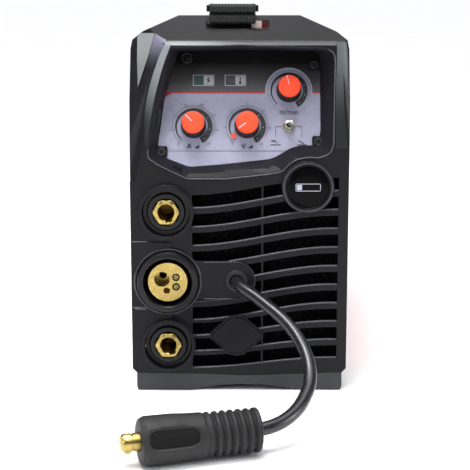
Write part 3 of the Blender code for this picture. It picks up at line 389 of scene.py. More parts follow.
def metal(name, tone, roughness, grain=(40, 900, 900), depth=0.00002, edge=0.0004):
    """Bare or plated metal with fine scratches along its grain."""
    look = Look(name, roughness, metallic=1.0)
    soft, near_edge = look.rounding(edge)
    streaks = look.noise(1, 3, grain)
    varied = look.mix(look.spread(streaks, 0, 1), shaded(tone, 0.85), shaded(tone, 1.05))
    worn = look.mix(look.spread(near_edge, 0, 0.5, 0.03, 0.4), varied, shaded(tone, 1.15))
    shine = look.spread(look.noise(240, 3), roughness - 0.07, roughness + 0.10)
    return look.finish(worn, shine, look.bump(streaks, depth, 0.7, soft))


def printed(name, tone):
    """Ink on the membrane label."""
    look = Look(name, 0.55)
    varied = look.mix(look.spread(look.noise(240, 2), 0, 1), shaded(tone, 0.95), shaded(tone, 1.05))
    shine = look.spread(look.noise(300, 2), 0.50, 0.60)
    return look.finish(varied, shine, look.bump(look.noise(2600, 2), 0.00001, 0.6))


def shaded_print(name, tone):
    """Ink with a painted shadow: it darkens and dulls between two heights, where the brow of the recess
    shades it.
    """
    low, high = 0.2440, 0.2660
    look = Look(name, 0.6)
    height = look.add("ShaderNodeSeparateXYZ", {0: look.place()}).outputs[2]
    shadow_share = look.spread(height, 0, 0.95, low, high)
    look.put(look.shader.inputs["Specular IOR Level"], look.spread(height, 0.4, 0.02, low, high))
    varied = look.mix(look.spread(look.noise(240, 2), 0, 1), shaded(tone, 0.95), shaded(tone, 1.05))
    shine = look.spread(height, 0.5, 0.85, low + 0.003, high + 0.001)
    return look.finish(look.mix(shadow_share, varied, shaded(tone, 0.05)), shine)


def webbing(name, tone):
    """Woven polypropylene tape: twill ribs along and picks across, from the tape's own UV in metres."""
    rib_pitch, pick_pitch, slant = 0.0024, 0.0031, 1.4
    look = Look(name, 0.62, specular=0.2)
    spot = look.add("ShaderNodeSeparateXYZ", {0: look.place(source="UV")})
    ribs = look.maths("SINE", look.maths("MULTIPLY", spot.outputs[0], math.tau / rib_pitch))
    steps = look.maths("MULTIPLY", spot.outputs[1], math.tau / pick_pitch)
    picks = look.maths("SINE", look.maths("ADD", steps, look.maths("MULTIPLY", ribs, slant)))
    weave = look.maths("ADD", look.maths("MULTIPLY", ribs, 0.45), look.maths("MULTIPLY", picks, 0.55))
    height = look.maths("ADD", weave, look.maths("MULTIPLY", look.noise(2200, 3), 0.8))
    # The tone follows the weave's height: its hollows are painted shade and its crowns painted highlight, on
    # top of the bump.
    thread = look.mix(look.spread(height, 0, 1, -0.8, 1.2), shaded(tone, 0.15), shaded(tone, 1.9))
    return look.finish(thread, look.spread(height, 0.75, 0.5, -1, 1), look.bump(height, 0.00025, 0.9))


def circuit(name, tone):
    """Solder mask with tracks under it."""
    look = Look(name, 0.4, coat=0.2)
    inputs = {"Vector": look.place(), "Scale": 160}
    tracks = look.add("ShaderNodeTexVoronoi", inputs, feature="DISTANCE_TO_EDGE")
    share = look.spread(tracks.outputs[0], 1, 0, 0.02, 0.08)
    return look.finish(look.mix(share, tone, shaded(tone, 1.7)), 0.4, look.bump(share, 0.00004))


def wound(name, tone):
    """Coppered wire laid turn by turn."""
    look = Look(name, 0.28, metallic=1.0)
    turns = look.noise(1, 2, (1250, 60, 60))
    varied = look.mix(look.spread(turns, 0, 1), shaded(tone, 0.55), shaded(tone, 1.15))
    return look.finish(varied, look.spread(turns, 0.4, 0.22), look.bump(turns, 0.0002, 0.8))


def foam(name, tone):
    """Open foam; its near-black tone is painted shade."""
    look = Look(name, 0.95, specular=0.02)
    cells = look.add("ShaderNodeTexVoronoi", {"Vector": look.place(), "Scale": 420}).outputs[0]
    pores = look.mix(look.spread(cells, 0, 1), shaded(tone, 0.3), shaded(tone, 1.6))
    return look.finish(pores, 0.95, look.bump(cells, 0.0006))


def glass(name, tone):
    """A dark tinted window with fine moulding marks."""
    look = Look(name, 0.12, coat=0.6)
    rows = look.noise(1, 1, (200, 1800, 1800))
    varied = look.mix(look.spread(rows, 0, 1), shaded(tone, 0.7), shaded(tone, 1.4))
    return look.finish(varied, look.spread(look.noise(400), 0.12, 0.22), look.bump(rows, 0.00003))


# Moulded plastics and rubbers: colour, roughness, the record's slot and what differs from the usual
PLASTICS = {
    "case_plastic": ((19, 19, 22), 0.34, "case_plastic", {"specular": 0.16}),
    # The lighter plastics below for ledges, beads, rims and rings are painted highlights on edges.
    "trim_plastic": ((98, 99, 103), 0.34, "case_plastic", {"edge": 0.0005, "wear": 1.1}),
    "bead_plastic": ((50, 52, 56), 0.30, "case_plastic", {"edge": 0.0005, "wear": 1.2, "specular": 0.4}),
    "rim_plastic": ((74, 76, 81), 0.30, "case_plastic", {"edge": 0.0005, "wear": 1.2, "specular": 0.4}),
    "liner_plastic": ((31, 30, 35), 0.50, "case_plastic", {"specular": 0.04}),
    "ring_plastic": ((34, 35, 38), 0.30, "case_plastic", {"edge": 0.0005, "wear": 1.2}),
    # The skirt's lighter tone is painted light bounced up from the floor.
    "skirt_plastic": ((50, 51, 54), 0.40, "case_plastic", {"specular": 0.25}),
    "pale_rim": ((150, 150, 156), 0.35, "case_plastic", {"grain": 0.00004, "wear": 1.3}),
    "black_plastic": ((17, 17, 18), 0.32, "black_plastic", {"wear": 1.8, "specular": 0.25}),
    "badge_gloss": ((6, 6, 7), 0.12, "black_plastic", {"grain": 0.000004, "edge": 0.0005, "specular": 0.06}),
    "cap_orange": ((232, 66, 30), 0.50, "cap_orange", {"wear": 1.15, "specular": 0.3}),
    "rubber": ((24, 24, 25), 0.60, "rubber",
               {"grain": 0.00009, "grain_scale": 1100, "edge": 0.0006, "wear": 1.4, "specular": 0.35}),
    "groove_rubber": ((17, 17, 18), 0.70, "rubber",
                      {"grain": 0.00009, "grain_scale": 1100, "specular": 0.12}),
    "cord": ((24, 24, 26), 0.27, "cord", {"grain": 0.00003, "grain_scale": 500, "wear": 1.2}),
}
# Case plastic with a painted highlight that goes from one colour to another along an axis (0 is X, 2 is Z),
# from start to end
PAINTED_HIGHLIGHTS = {
    "wedge_plastic": ((120, 122, 121), (104, 106, 104), 2, 0.2860, 0.2550),
    "lip_plastic": ((118, 122, 124), (26, 27, 32), 2, 0.2700, 0.2150),
    "brow_plastic": ((122, 126, 129), (62, 64, 69), 0, -0.0560, 0.0150),
    "corner_plastic": ((112, 108, 126), (22, 22, 26), 2, 0.2900, 0.2640),
    "cheek_plastic": ((84, 89, 92), (26, 28, 31), 2, 0.2820, 0.2180),
}
# Powder coats: colour, roughness
PAINTS = {
    "red_paint": ((168, 14, 20), 0.36),
    # The dark red is painted shade and the pale tone a painted reflection, both on the cover seen through the
    # strap's slot.
    "dark_paint": ((84, 14, 18), 0.40),
    "pale_paint": ((226, 205, 200), 0.45),
}
METALS = {
    "zinc_steel": ((176, 178, 182), 0.36, {}),
    "nickel": ((205, 200, 186), 0.22, {}),
    "brass": ((178, 156, 92), 0.30, {"grain": (500, 30, 500)}),
    "aged_brass": ((112, 84, 46), 0.40, {"grain": (500, 30, 500)}),
    "aluminium": ((188, 190, 194), 0.40, {"grain": (500, 500, 500), "depth": 0.00006}),
}
PRINTS = {
    "label": (138, 138, 158),
    "red_print": (160, 34, 44),
    "orange_print": (215, 70, 46),
    "grey_print": (84, 84, 94),
    "mark_print": (38, 37, 40),
    "black_print": (22, 24, 24),
    "pale_print": (160, 160, 176),
}
WINDOWS = {"lens": (110, 112, 118), "green_window": (44, 66, 56), "dark_window": (64, 62, 66)}


def make_looks():
    """Every material by name, and the record's slot of each."""
    looks = {
        "webbing": webbing("webbing", colour(24, 26, 24)),
        "circuit_board": circuit("circuit_board", colour(24, 92, 60)),
        "copper_wire": wound("copper_wire", colour(206, 128, 82)),
        "filter_foam": foam("filter_foam", colour(9, 9, 10)),
        "dark_print": shaded_print("dark_print", colour(72, 70, 72)),
    }
    slots = {name: name for name in looks}
    slots.update(filter_foam="black_plastic", dark_print="label")
    for name, (tone, roughness, slot, settings) in PLASTICS.items():
        looks[name] = moulded(name, colour(*tone), roughness, **settings)
        slots[name] = slot
    for name, (bright, dim, axis, start, end) in PAINTED_HIGHLIGHTS.items():
        looks[name] = faded(name, colour(*bright), colour(*dim), axis, start, end)
        slots[name] = "case_plastic"
    for name, (tone, roughness) in PAINTS.items():
        looks[name] = painted(name, colour(*tone), roughness)
        slots[name] = "red_paint"
    for name, (tone, roughness, settings) in METALS.items():
        looks[name] = metal(name, colour(*tone), roughness, **settings)
        slots[name] = "brass" if "brass" in name else name
    for name, tone in PRINTS.items():
        looks[name] = printed(name, colour(*tone))
        slots[name] = "label"
    for name, tone in WINDOWS.items():
        looks[name] = glass(name, colour(*tone))
        slots[name] = "lens"
    return looks, slots


LOOKS, SLOTS = make_looks()


def dress_cad_nodes():
    """Each CAD solid that stays visible gets the detailed material of its slot."""
    for part in frame["record"]["subparts"]:
        for slot in frame["nodes"][part["node"]].material_slots:
            slot.material = LOOKS[part["material_slot"]]


def add_object(name, data):
    made = bpy.data.objects.new(name, data)
    bpy.context.scene.collection.objects.link(made)
    return made


def piece(name, shape, look, where=None, body="case", sharp=35, replaces=None):
    """An object of a shape, put in place, riding on a body and standing in for a CAD node if one is named."""
    bmesh.ops.recalc_face_normals(shape, faces=shape.faces)
    mesh = bpy.data.meshes.new(name)
    shape.to_mesh(mesh)
    shape.free()
    if where is not None:
        mesh.transform(where)
    mesh.materials.append(LOOKS[look])
    mesh.shade_smooth()
    mesh.set_sharp_from_angle(angle=math.radians(sharp))
    made = add_object(name, mesh)
    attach(made, body)
    if replaces:
        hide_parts(replaces)
    return made


def turned(name, profile, look, where, segments=64, ring=True, **settings):
    """A piece turned from a profile; ring closes the profile on itself."""
    return piece(name, lathe(profile, segments, ring), look, where, **settings)


# ---------------------------------------------------------------- camera, light and floor


def camera():
    data = bpy.data.cameras.new("camera")
    data.lens = 97.1
    data.sensor_width = 36
    looking_down = 11.3
    made = add_object("camera", data)
    made.location = (-0.0035, -1.207, 0.330)
    made.rotation_euler = (math.radians(90 - looking_down), 0, 0)
    bpy.context.scene.camera = made


def softbox(name, location, target, width, height, power, tint=(1, 1, 1)):
    data = bpy.data.lights.new(name, "AREA")
    data.shape = "RECTANGLE"
    data.size, data.size_y = width, height
    data.energy = power
    data.color = tint
    made = add_object(name, data)
    made.location = location
    aim = Vector(target) - Vector(location)
    made.rotation_euler = aim.to_track_quat("-Z", "Y").to_euler()


def overhead(strength):
    """An even overhead light that keeps the whole floor pale."""
    data = bpy.data.lights.new("overhead", "SUN")
    data.energy = strength
    data.angle = math.radians(70)
    made = add_object("overhead", data)
    made.rotation_euler = (math.radians(-8), math.radians(-6), 0)


def studio():
    """A dim bluish room that the camera sees as white, and the lamps."""
    scene = bpy.context.scene
    scene.view_settings.view_transform = "Standard"
    world = bpy.data.worlds.new("studio")
    scene.world = world
    world.use_nodes = True
    nodes, links = world.node_tree.nodes, world.node_tree.links
    light = nodes["Background"]
    light.inputs["Color"].default_value = (0.86, 0.87, 1.0, 1)
    light.inputs["Strength"].default_value = 0.2
    backdrop = nodes.new("ShaderNodeBackground")
    backdrop.inputs["Color"].default_value = (1, 1, 1, 1)
    path = nodes.new("ShaderNodeLightPath")
    choose = nodes.new("ShaderNodeMixShader")
    links.new(path.outputs["Is Camera Ray"], choose.inputs[0])
    links.new(light.outputs[0], choose.inputs[1])
    links.new(backdrop.outputs[0], choose.inputs[2])
    links.new(choose.outputs[0], nodes["World Output"].inputs["Surface"])
    overhead(3.0)
    softbox("key_light", (0, -1.16, 1.44), (0, -0.2, 0.28), 0.9, 0.5, 10)
    softbox("brow_light", (-0.22, -0.42, 1.35), (0, -0.2, 0.28), 0.7, 0.35, 16)
    softbox("facet_light", (-0.80, -1.20, 0.50), (-0.07, -0.2, 0.25), 0.2, 0.6, 4, (0.95, 0.95, 1.0))
    softbox("right_light", (1.30, -0.55, 0.40), (0, -0.1, 0.22), 0.3, 0.6, 7)


def floor():
    """A wide pale floor at the height the machine stands on."""
    shape = bmesh.new()
    corners = [shape.verts.new((x, y, 0)) for x, y in rectangle(-30, -30, 30, 40)]
    shape.faces.new(corners)
    mesh = bpy.data.meshes.new("floor")
    shape.to_mesh(mesh)
    shape.free()
    look = Look("floor", 0.7)
    tone = look.mix(look.spread(look.noise(3, 2), 0, 1), (0.93, 0.93, 0.93, 1), (0.95, 0.95, 0.95, 1))
    mesh.materials.append(look.finish(tone))
    add_object("floor", mesh)


# ---------------------------------------------------------------- polarity lead and its plug

LEAD_DIAMETER = 0.010
LEAD_ROUTE = (
    (-0.0027, 0.010, 0.0930), (-0.0027, 0.000, 0.0930), (-0.0013, -0.010, 0.0921),
    (0.0050, -0.0185, 0.0893), (0.0140, -0.0275, 0.0850), (0.0235, -0.0375, 0.0797),
    (0.0330, -0.0475, 0.0738), (0.0410, -0.0572, 0.0668), (0.0470, -0.0670, 0.0592),
    (0.0512, -0.0775, 0.0510), (0.0528, -0.0880, 0.0430), (0.0518, -0.0985, 0.0362),
    (0.0482, -0.1085, 0.0308), (0.0437, -0.1178, 0.0264), (0.0377, -0.1262, 0.0228),
    (0.0303, -0.1335, 0.0200), (0.0221, -0.1393, 0.0184), (0.0135, -0.1430, 0.0177),
    (0.0060, -0.1452, 0.0177), (-0.0009, -0.1472, 0.0177),
)
PLUG_BACK = (0.0135, -0.1430, 0.0177)
PLUG_HEADING = (-0.960, -0.280, 0.0)
PLUG_LENGTH = 0.0870
PIN_LENGTH = 0.1003
PIN_RADIUS = 0.0065
GRIP_CENTRE = 0.0645
GRIP_SIDES = (0.34, math.pi + 0.34)


def polarity_lead(plug):
    """The short lead from its grommet to the plug that lies in front of the machine."""
    route = [Vector((x, FRONT + y, z)) for x, y, z in LEAD_ROUTE]
    points = catmull_rom(route, (0.0, 0.25, 0.5, 0.75))
    data = bpy.data.curves.new("lead", "CURVE")
    data.dimensions = "3D"
    data.bevel_depth = LEAD_DIAMETER / 2
    data.bevel_resolution = 6
    data.use_fill_caps = True
    spline = data.splines.new("POLY")
    spline.points.add(len(points) - 1)
    for point, spot in zip(spline.points, points):
        point.co = (*spot, 1)
    spline.use_smooth = True
    data.materials.append(LOOKS["cord"])
    lead = add_object("lead", data)
    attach(lead, "case")
    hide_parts("polarity_lead")


def plug_frame():
    """Out runs from the cable end of the plug to its pin, up stays up."""
    heading = Vector(PLUG_HEADING).normalized()
    origin = Vector(PLUG_BACK) + Vector((0, FRONT, 0))
    return local_frame(origin, (Vector(UP).cross(heading), UP))


SLEEVE_PROFILE = (
    (0, 0.0118), (0.0015, 0.0160), (0.040, 0.0162), (0.050, 0.0165), (0.066, 0.0174), (0.0825, 0.0174),
    (0.0862, 0.0160), (PLUG_LENGTH, 0.0142),
)
RIB_START, RIB_END, RIB_PITCH, RIB_DEPTH = 0.003, 0.042, 0.0058, 0.0023


def sleeve_radius(along, angle):
    """The rubber sleeve's radius: ribs at the cable end, then a body with two oval grip recesses."""
    radius = SLEEVE_PROFILE[-1][1]
    for (start, low), (end, high) in zip(SLEEVE_PROFILE, SLEEVE_PROFILE[1:]):
        if start <= along <= end:
            radius = low + (high - low) * smoothstep((along - start) / (end - start))
            break
    if RIB_START < along < RIB_END:
        phase = (along - RIB_START) / RIB_PITCH
        fade = min(1, (RIB_END - along) / 0.004, (along - RIB_START) / 0.002)
        radius -= RIB_DEPTH * fade * (0.5 - 0.5 * math.cos(math.tau * phase)) ** 1.6
    for side in GRIP_SIDES:
        turn = (angle - side + math.pi) % math.tau - math.pi
        oval = ((along - GRIP_CENTRE) / 0.0184) ** 4 + (turn / 0.45) ** 4
        radius -= 0.0017 * smoothstep((1.15 - oval) / 0.35)
    return radius


def plug_sleeve(where):
    """The ribbed rubber sleeve; its mouth is open behind, where the lead goes in."""
    outside = evenly(0, PLUG_LENGTH, 150)
    profile = [(lambda angle, a=along: sleeve_radius(a, angle), along) for along in outside]
    bore = LEAD_DIAMETER / 2 + 0.0004
    pin_bore = PIN_RADIUS + 0.0006
    inside = [(pin_bore, PLUG_LENGTH), (pin_bore, PLUG_LENGTH - 0.006), (bore, 0.020)]
    inside += [(bore, 0.006), (bore + 0.0016, 0.0004)]
    return turned("plug_sleeve", profile + inside, "rubber", where, 96, replaces="polarity_plug_sleeve")


def rounded_wave(value):
    """A cosine or sine bent so that a circle of them becomes a rounded square."""
    return math.copysign(abs(value) ** 0.5, value)


def plug_inset(number, side, where):
    """A dull skin in the bottom of a grip recess, tucked under the sleeve at its rim."""
    rings = []
    for scale, lift in ((0.02, 0.00015), (0.5, 0.00015), (0.86, 0.00015), (0.95, 0.0004), (1.0, -0.0006)):
        ring = []
        for cosine, sine in circle((0, 0), 1, 64):
            along = GRIP_CENTRE + 0.0180 * scale * rounded_wave(cosine)
            angle = side + 0.43 * scale * rounded_wave(sine)
            radius = sleeve_radius(along, angle) + lift
            ring.append((radius * math.cos(angle), radius * math.sin(angle), along))
        rings.append(ring)
    return piece(f"plug_inset_{number}", sweep(rings, ends=(0,)), "groove_rubber", where)


def plug_pin(where):
    """The brass pin: a chamfered nose, a groove behind it and a plain shank."""
    end = PIN_LENGTH
    nose = [(0, end), (0.0040, end), (0.0056, end - 0.0008), (0.0060, end - 0.0016)]
    shank = [(0.0060, end - 0.0016), (PIN_RADIUS, end - 0.0024), (PIN_RADIUS, end - 0.0075)]
    shank += [(0.0058, end - 0.0077), (0.0058, end - 0.0087), (PIN_RADIUS, end - 0.0089)]
    shank += [(PIN_RADIUS, 0.060), (0, 0.060)]
    shape = lathe(shank, 48, shape=lathe(nose, 48))
    bmesh.ops.remove_doubles(shape, verts=shape.verts, dist=0.00001)
    return piece("plug_pin", shape, "brass", where, replaces="polarity_plug_pin")


def plug_pin_key(where):
    """The raised key on the pin's nose, which locks it in a socket."""

    def keyed(angle):
        return 0.0063 + 0.0016 * smoothstep((0.30 - abs(angle - 1.5 * math.pi)) / 0.05)

    end = PIN_LENGTH
    profile = [(keyed, end - 0.0035), (keyed, end - 0.0070), (0.0050, end - 0.0071), (0.0050, end - 0.0034)]
    return turned("plug_pin_key", profile, "brass", where, 96)


def plug():
    """The pieces at the lead's end."""
    where = plug_frame()
    sleeve = plug_sleeve(where)
    insets = [plug_inset(number, side, where) for number, side in enumerate(GRIP_SIDES)]
    return [sleeve, plug_pin(where), plug_pin_key(where), *insets]


def grommet():
    """The rubber bush that the lead comes out of."""
    profile = [(0.0053, 0.0052), (0.0066, 0.0055), (0.0079, 0.0050), (0.0088, 0.0036), (0.0092, 0.0020)]
    profile += [(0.0093, 0.0016), (0.0075, 0.0016), (0.0075, -0.0100), (0.0053, -0.0100)]
    turned("grommet", profile, "rubber", front_frame("lead_grommet"), replaces="lead_grommet")


# ---------------------------------------------------------------- control panel

KNOB_TURNS = {"current": -47, "voltage": -127, "wire_speed": -15}
DIAL_SWEEP = 140
DIAL_NUMBERS = {
    "current": range(20, 161, 20),
    "voltage": range(12, 25, 2),
    "wire_speed": range(2, 11),
}
BAND_EDGE_Z = 0.2425
INK = 0.00008


def knob_spot(name):
    """Where a knob's axis meets the plate, in the plate's coordinates."""
    x, _, z = JOINTS[name + "_knob_turn"]["pos_m"]
    return on_panel(x, z)


def ink(name, outlines, look, lift=INK):
    """Printed shapes on the control plate."""
    return piece(name, prisms(outlines, 0.00001, lift), look, PANEL)


def letters(name, words, look, lift=INK):
    """Flat characters, each given as (characters, size, x, y) in the plate's coordinates."""
    shape = bmesh.new()
    for text, size, x, y in words:
        data = bpy.data.curves.new(name, "FONT")
        data.body = text
        data.size = size
        data.align_x, data.align_y = "CENTER", "CENTER"
        data.extrude = lift / 2
        data.resolution_u = 3
        writer = add_object(name, data)
        bpy.context.view_layer.update()
        written = writer.evaluated_get(bpy.context.evaluated_depsgraph_get())
        mesh = bpy.data.meshes.new_from_object(written)
        mesh.transform(Matrix.Translation((x, y, lift / 2 + 0.00002)))
        shape.from_mesh(mesh)
        bpy.data.meshes.remove(mesh)
        bpy.data.objects.remove(writer)
    return piece(name, shape, look, PANEL)


def label_colours():
    """The dark upper part of the label, the red line under it and the tab of the wire-speed dial."""
    edge = BAND_EDGE_Z
    corners = [(-0.0592, edge), (0.0656, edge), (0.0656, 0.2660), (0.0654, 0.2718), (0.0618, 0.2752)]
    corners += [(0.0, 0.2762), (-0.0498, 0.2747)]
    # The dark band's upper part darkens as painted shadow of the brow.
    ink("label_dark_band", [[on_panel(x, z) for x, z in corners]], "dark_print")
    red_line = [(-0.0594, edge - 0.0007), (0.0656, edge - 0.0007)]
    red_line += [(0.0656, edge + 0.0004), (-0.0590, edge + 0.0004)]
    arrow = [(-0.0591, edge + 0.0024), (-0.0600, edge - 0.0042), (-0.0545, edge - 0.0004)]
    red = [[on_panel(x, z) for x, z in shape] for shape in (red_line, arrow)]
    ink("label_red_line", red, "red_print", INK * 1.5)
    centre, inner, outer = knob_spot("wire_speed"), 0.0185, 0.0190
    ink("wire_speed_tab", [disc(centre, outer, 64)], "label", INK * 2)
    rim = band(centre, (inner, inner), (outer, outer), -110, 110)
    ink("wire_speed_tab_rim", [rim], "pale_print", INK * 2.5)
    rule = rectangle(*on_panel(-0.0640, 0.1968), *on_panel(0.0395, 0.1971))
    ink("label_rule", [rule], "grey_print")


def dial(name, numbers):
    """A knob's scale: a thin outer ring, a crescent that widens clockwise, ticks and numbers."""
    centre = knob_spot(name)
    lift = INK * 3
    ring = band(centre, (0.0168, 0.0168), (0.0171, 0.0171), -DIAL_SWEEP, DIAL_SWEEP - 20)
    ink(name + "_ring", [ring], "grey_print", lift)
    crescent = band(centre, (0.0141, 0.0106), (0.0147, 0.0154), -DIAL_SWEEP, DIAL_SWEEP + 12, 60)
    ink(name + "_crescent", [crescent], "black_print", lift)
    ticks, dots, words = [], [], []
    for index, number in enumerate(numbers):
        angle = -DIAL_SWEEP + 2 * DIAL_SWEEP * index / (len(numbers) - 1)
        ticks.append(line(clock(centre, 0.0155, angle), clock(centre, 0.0166, angle), 0.0003))
        words.append((str(number), 0.0019, *clock(centre, 0.0187, angle)))
        if angle > 30:
            dots.append(disc(clock(centre, 0.0132, angle), 0.0004, 10))
    ink(name + "_ticks", ticks, "grey_print", lift)
    ink(name + "_dots", dots, "pale_print", lift * 1.3)
    letters(name + "_numbers", words, "grey_print", lift)


def dials():
    """The three scales, their units and the marks under them."""
    for name, numbers in DIAL_NUMBERS.items():
        dial(name, numbers)
    current, voltage, speed = (knob_spot(name) for name in DIAL_NUMBERS)
    start = band(voltage, (0.0115, 0.0115), (0.0150, 0.0150), -135, -116, 8)
    ink("voltage_start_mark", [start], "orange_print", INK * 5)
    units = [("A", 0.0058, current[0] - 0.0034, current[1] - 0.0165)]
    units.append(("V", 0.0058, voltage[0] - 0.0028, voltage[1] - 0.0165))
    units.append(("m/min", 0.0060, speed[0], speed[1] - 0.0178))
    letters("unit_marks", units, "mark_print", INK * 4)
    corners = ((0.0006, -0.0181), (0.0046, -0.0149), (0.0046, -0.0181))
    wedges = [[(x + right, y + up) for right, up in corners] for x, y in (current, voltage)]
    ink("level_marks", wedges, "mark_print")


SWITCH_MARK_X = 0.0106


def switch_marks():
    """Lines from the toggle switch to the marks of its two positions: a wire drop and a stick electrode."""
    x, z = middle("mode_switch_bushing").x, 0.2159
    strokes = []
    for side in (-1, 1):
        corner, low = on_panel(x + side * SWITCH_MARK_X, z), on_panel(x + side * SWITCH_MARK_X, 0.2078)
        strokes.append(line(on_panel(x + side * 0.0058, z), corner, 0.0003))
        strokes.append(line(corner, low, 0.0003))
        left, base = on_panel(x + side * SWITCH_MARK_X, 0.2030)
        strokes.append(line((left - 0.0040, base - 0.0014), (left + 0.0040, base - 0.0014), 0.0006))
    right, up = on_panel(x - SWITCH_MARK_X, 0.2030)
    strokes.append(line((right - 0.0035, up + 0.0018), (right, up + 0.0018), 0.0010))
    strokes.append(line((right, up + 0.0018), (right + 0.0018, up - 0.0002), 0.0004))
    right, up = on_panel(x + SWITCH_MARK_X, 0.2030)
    strokes.append(line((right - 0.0030, up + 0.0022), (right + 0.0015, up - 0.0004), 0.0008))
    ink("switch_marks", strokes, "mark_print")


def lamp(side, window, mark):
    """A lamp's printed frame, its window on the left and a pale field with a mark on the right."""
    spot = middle("indicator_lens_" + side)
    x, y = on_panel(spot.x, spot.z)
    top = 0.0006
    outline = frame_lines(x - 0.0086, y - 0.0046, x + 0.0086, y + 0.0046, 0.0006)
    ink("lamp_frame_" + side, outline, "pale_print", INK * 2)
    halves = (("window", x - 0.0077, x, window), ("field", x + 0.0001, x + 0.0077, "pale_rim"))
    for part, left, right, look in halves:
        pane = prism(rounded(left, y - 0.0037, right, y + 0.0037, 0.0006), 0.0001, top)
        piece(f"lamp_{part}_{side}", pane, look, PANEL)
    piece("lamp_mark_" + side, prisms(mark(x + 0.0039, y), 0.0004, top + 0.0001), "black_print", PANEL)


def power_mark(x, y):
    """A flash: two slanted points and a dot between them."""
    upper = [(x - 0.0016, y + 0.0002), (x + 0.0010, y + 0.0030), (x + 0.0003, y + 0.0006)]
    lower = [(x + 0.0016, y - 0.0002), (x - 0.0010, y - 0.0030), (x - 0.0003, y - 0.0006)]
    return [upper, lower, disc((x, y), 0.0009, 12)]


def heat_mark(x, y):
    """A thermometer: a tube on a bulb."""
    return [line((x, y - 0.0028), (x, y + 0.0026), 0.0009), disc((x, y - 0.0022), 0.0011, 16)]


def lamps():
    lamp("left", "green_window", power_mark)
    lamp("right", "dark_window", heat_mark)


def fluted(radius, depth):
    return lambda angle: radius - depth * (0.5 - 0.5 * math.cos(30 * angle)) ** 2


def knobs():
    """A fluted skirt, a dished orange cap and its white pointer."""
    flutes = [(0.0031, 0.0009), (0.0099, 0.0009), (0.0101, 0.0013), (0.0101, 0.0030), (0.0098, 0.0036)]
    flutes += [(fluted(0.0097, 0.0006), 0.0042), (fluted(0.0093, 0.0006), 0.0136)]
    flutes += [(fluted(0.0090, 0.0003), 0.0142), (0.0084, 0.0144), (0.0031, 0.0144)]
    cap = [(0, 0.0163), (0.0040, 0.01635), (0.0078, 0.0166), (0.0086, 0.0163), (0.00895, 0.0156)]
    cap += [(0.0090, 0.0146), (0, 0.0146)]
    for name, turn in KNOB_TURNS.items():
        where = joint_frame(name + "_knob_turn", FACING_PANEL)
        body = name + "_knob"
        turned(name + "_skirt", flutes, "black_plastic", where, 180, body=body, sharp=60, replaces=body)
        turned(name + "_button", cap, "cap_orange", where, ring=False, body=body, replaces=name + "_cap")
        pointer = line(clock((0, 0), 0.0012, turn), clock((0, 0), 0.0084, turn), 0.0008)
        piece(name + "_pointer", prism(pointer, 0.0160, 0.0167), "pale_print", where, body)


def mode_switch():
    """A hexagon nut on the toggle's threaded bush, and a washer under it."""
    where = joint_frame("mode_switch_throw", FACING_PANEL) @ Matrix.Translation((0, 0, -0.0040))
    thread = [(0.0019, 0.0053), (0.0028, 0.0053)]
    for turn in range(5):
        thread += [(0.0030, 0.0050 - 0.0005 * turn), (0.0028, 0.00475 - 0.0005 * turn)]
    flats = hexagon(0.0048, 0.3)
    nut = [(0.0042, 0.0026), (flats, 0.0022), (flats, 0.0003), (0.0019, 0.0003)]
    turned("switch_nut", thread + nut, "nickel", where, 72, sharp=25, replaces="mode_switch_bushing")
    washer = [(0.0040, 0.0004), (0.0053, 0.0004), (0.0053, 0.0001), (0.0040, 0.0001)]
    turned("switch_washer", washer, "nickel", where, 48)


def crossed(outer, slot):
    """The outline of a cross recess between its arms' reach and its inner corners."""

    def reach(angle):
        nearest = abs((angle + math.pi / 4) % (math.pi / 2) - math.pi / 4)
        return outer if nearest < 0.30 else slot

    return reach


def screw(name, where, radius, height, look="zinc_steel"):
    """A pan-head screw with a cross recess."""
    head = [(0, height * 0.35), (crossed(radius * 0.52, radius * 0.16), height * 0.40)]
    head += [(crossed(radius * 0.56, radius * 0.20), height), (radius * 0.60, height * 0.99)]
    head += [(radius * 0.86, height * 0.72), (radius, height * 0.30), (radius, 0), (0, 0)]
    turned(name, head, look, where, ring=False)


def panel_screws():
    """Screws in the label's corners: a round boss at the upper left, and square black ones elsewhere."""
    spots = ((-0.0424, 0.2690), (0.0604, 0.2634), (-0.0622, 0.1962), (0.0630, 0.2040))
    for index, (x, z) in enumerate(spots):
        right, up = on_panel(x, z)
        corner, outer = (0.0042, 0.0041) if index == 0 else (0.0014, 0.0030)
        boss = rounded(right - 0.0046, up - 0.0044, right + 0.0046, up + 0.0044, corner)
        piece(f"panel_boss_{index}", prism(boss, 0.0001, 0.0016), "groove_rubber", PANEL)
        where = PANEL @ Matrix.Translation((right, up, 0.0016))
        rim = [(outer - 0.0008, 0.0), (outer - 0.0006, 0.0005), (outer, 0.0005), (outer + 0.0002, 0.0)]
        # The rim round each screw is lighter than the case as a painted highlight.
        turned(f"panel_screw_rim_{index}", rim, "bead_plastic", where, 48)
        screw(f"panel_screw_{index}", where, 0.0020, 0.0009, "black_plastic")


# ---------------------------------------------------------------- sockets, badge and louvres


def bore(radius, keyway):
    """A round bore with a keyway at an angle."""

    def reach(angle):
        away = abs((angle - keyway + math.pi) % math.tau - math.pi)
        return radius + 0.0016 * smoothstep((0.42 - away) / 0.10)

    return reach


def brass_contact(name, keyway):
    """A socket contact: a face that is nearly hexagonal outside, and a bore with a keyway."""

    def outer(angle):
        return 0.0102 + 0.0003 * math.cos(6 * angle)

    where = front_frame(name + "_socket_contact")
    mouth, inside = bore(0.0070, keyway), bore(0.0065, keyway)
    face = [(mouth, 0.0033), (0.0095, 0.0033), (outer, 0.0027), (outer, -0.0300)]
    face += [(inside, -0.0300), (inside, 0.0027)]
    turned(name + "_contact", face, "brass", where, 120, replaces=name + "_socket_contact")
    # The floor of the bore is a darker brass.
    bottom = [(0, -0.0236), (0.0060, -0.0240), (0.0064, -0.0250), (0, -0.0256)]
    turned(name + "_contact_floor", bottom, "aged_brass", where, 48, ring=False)


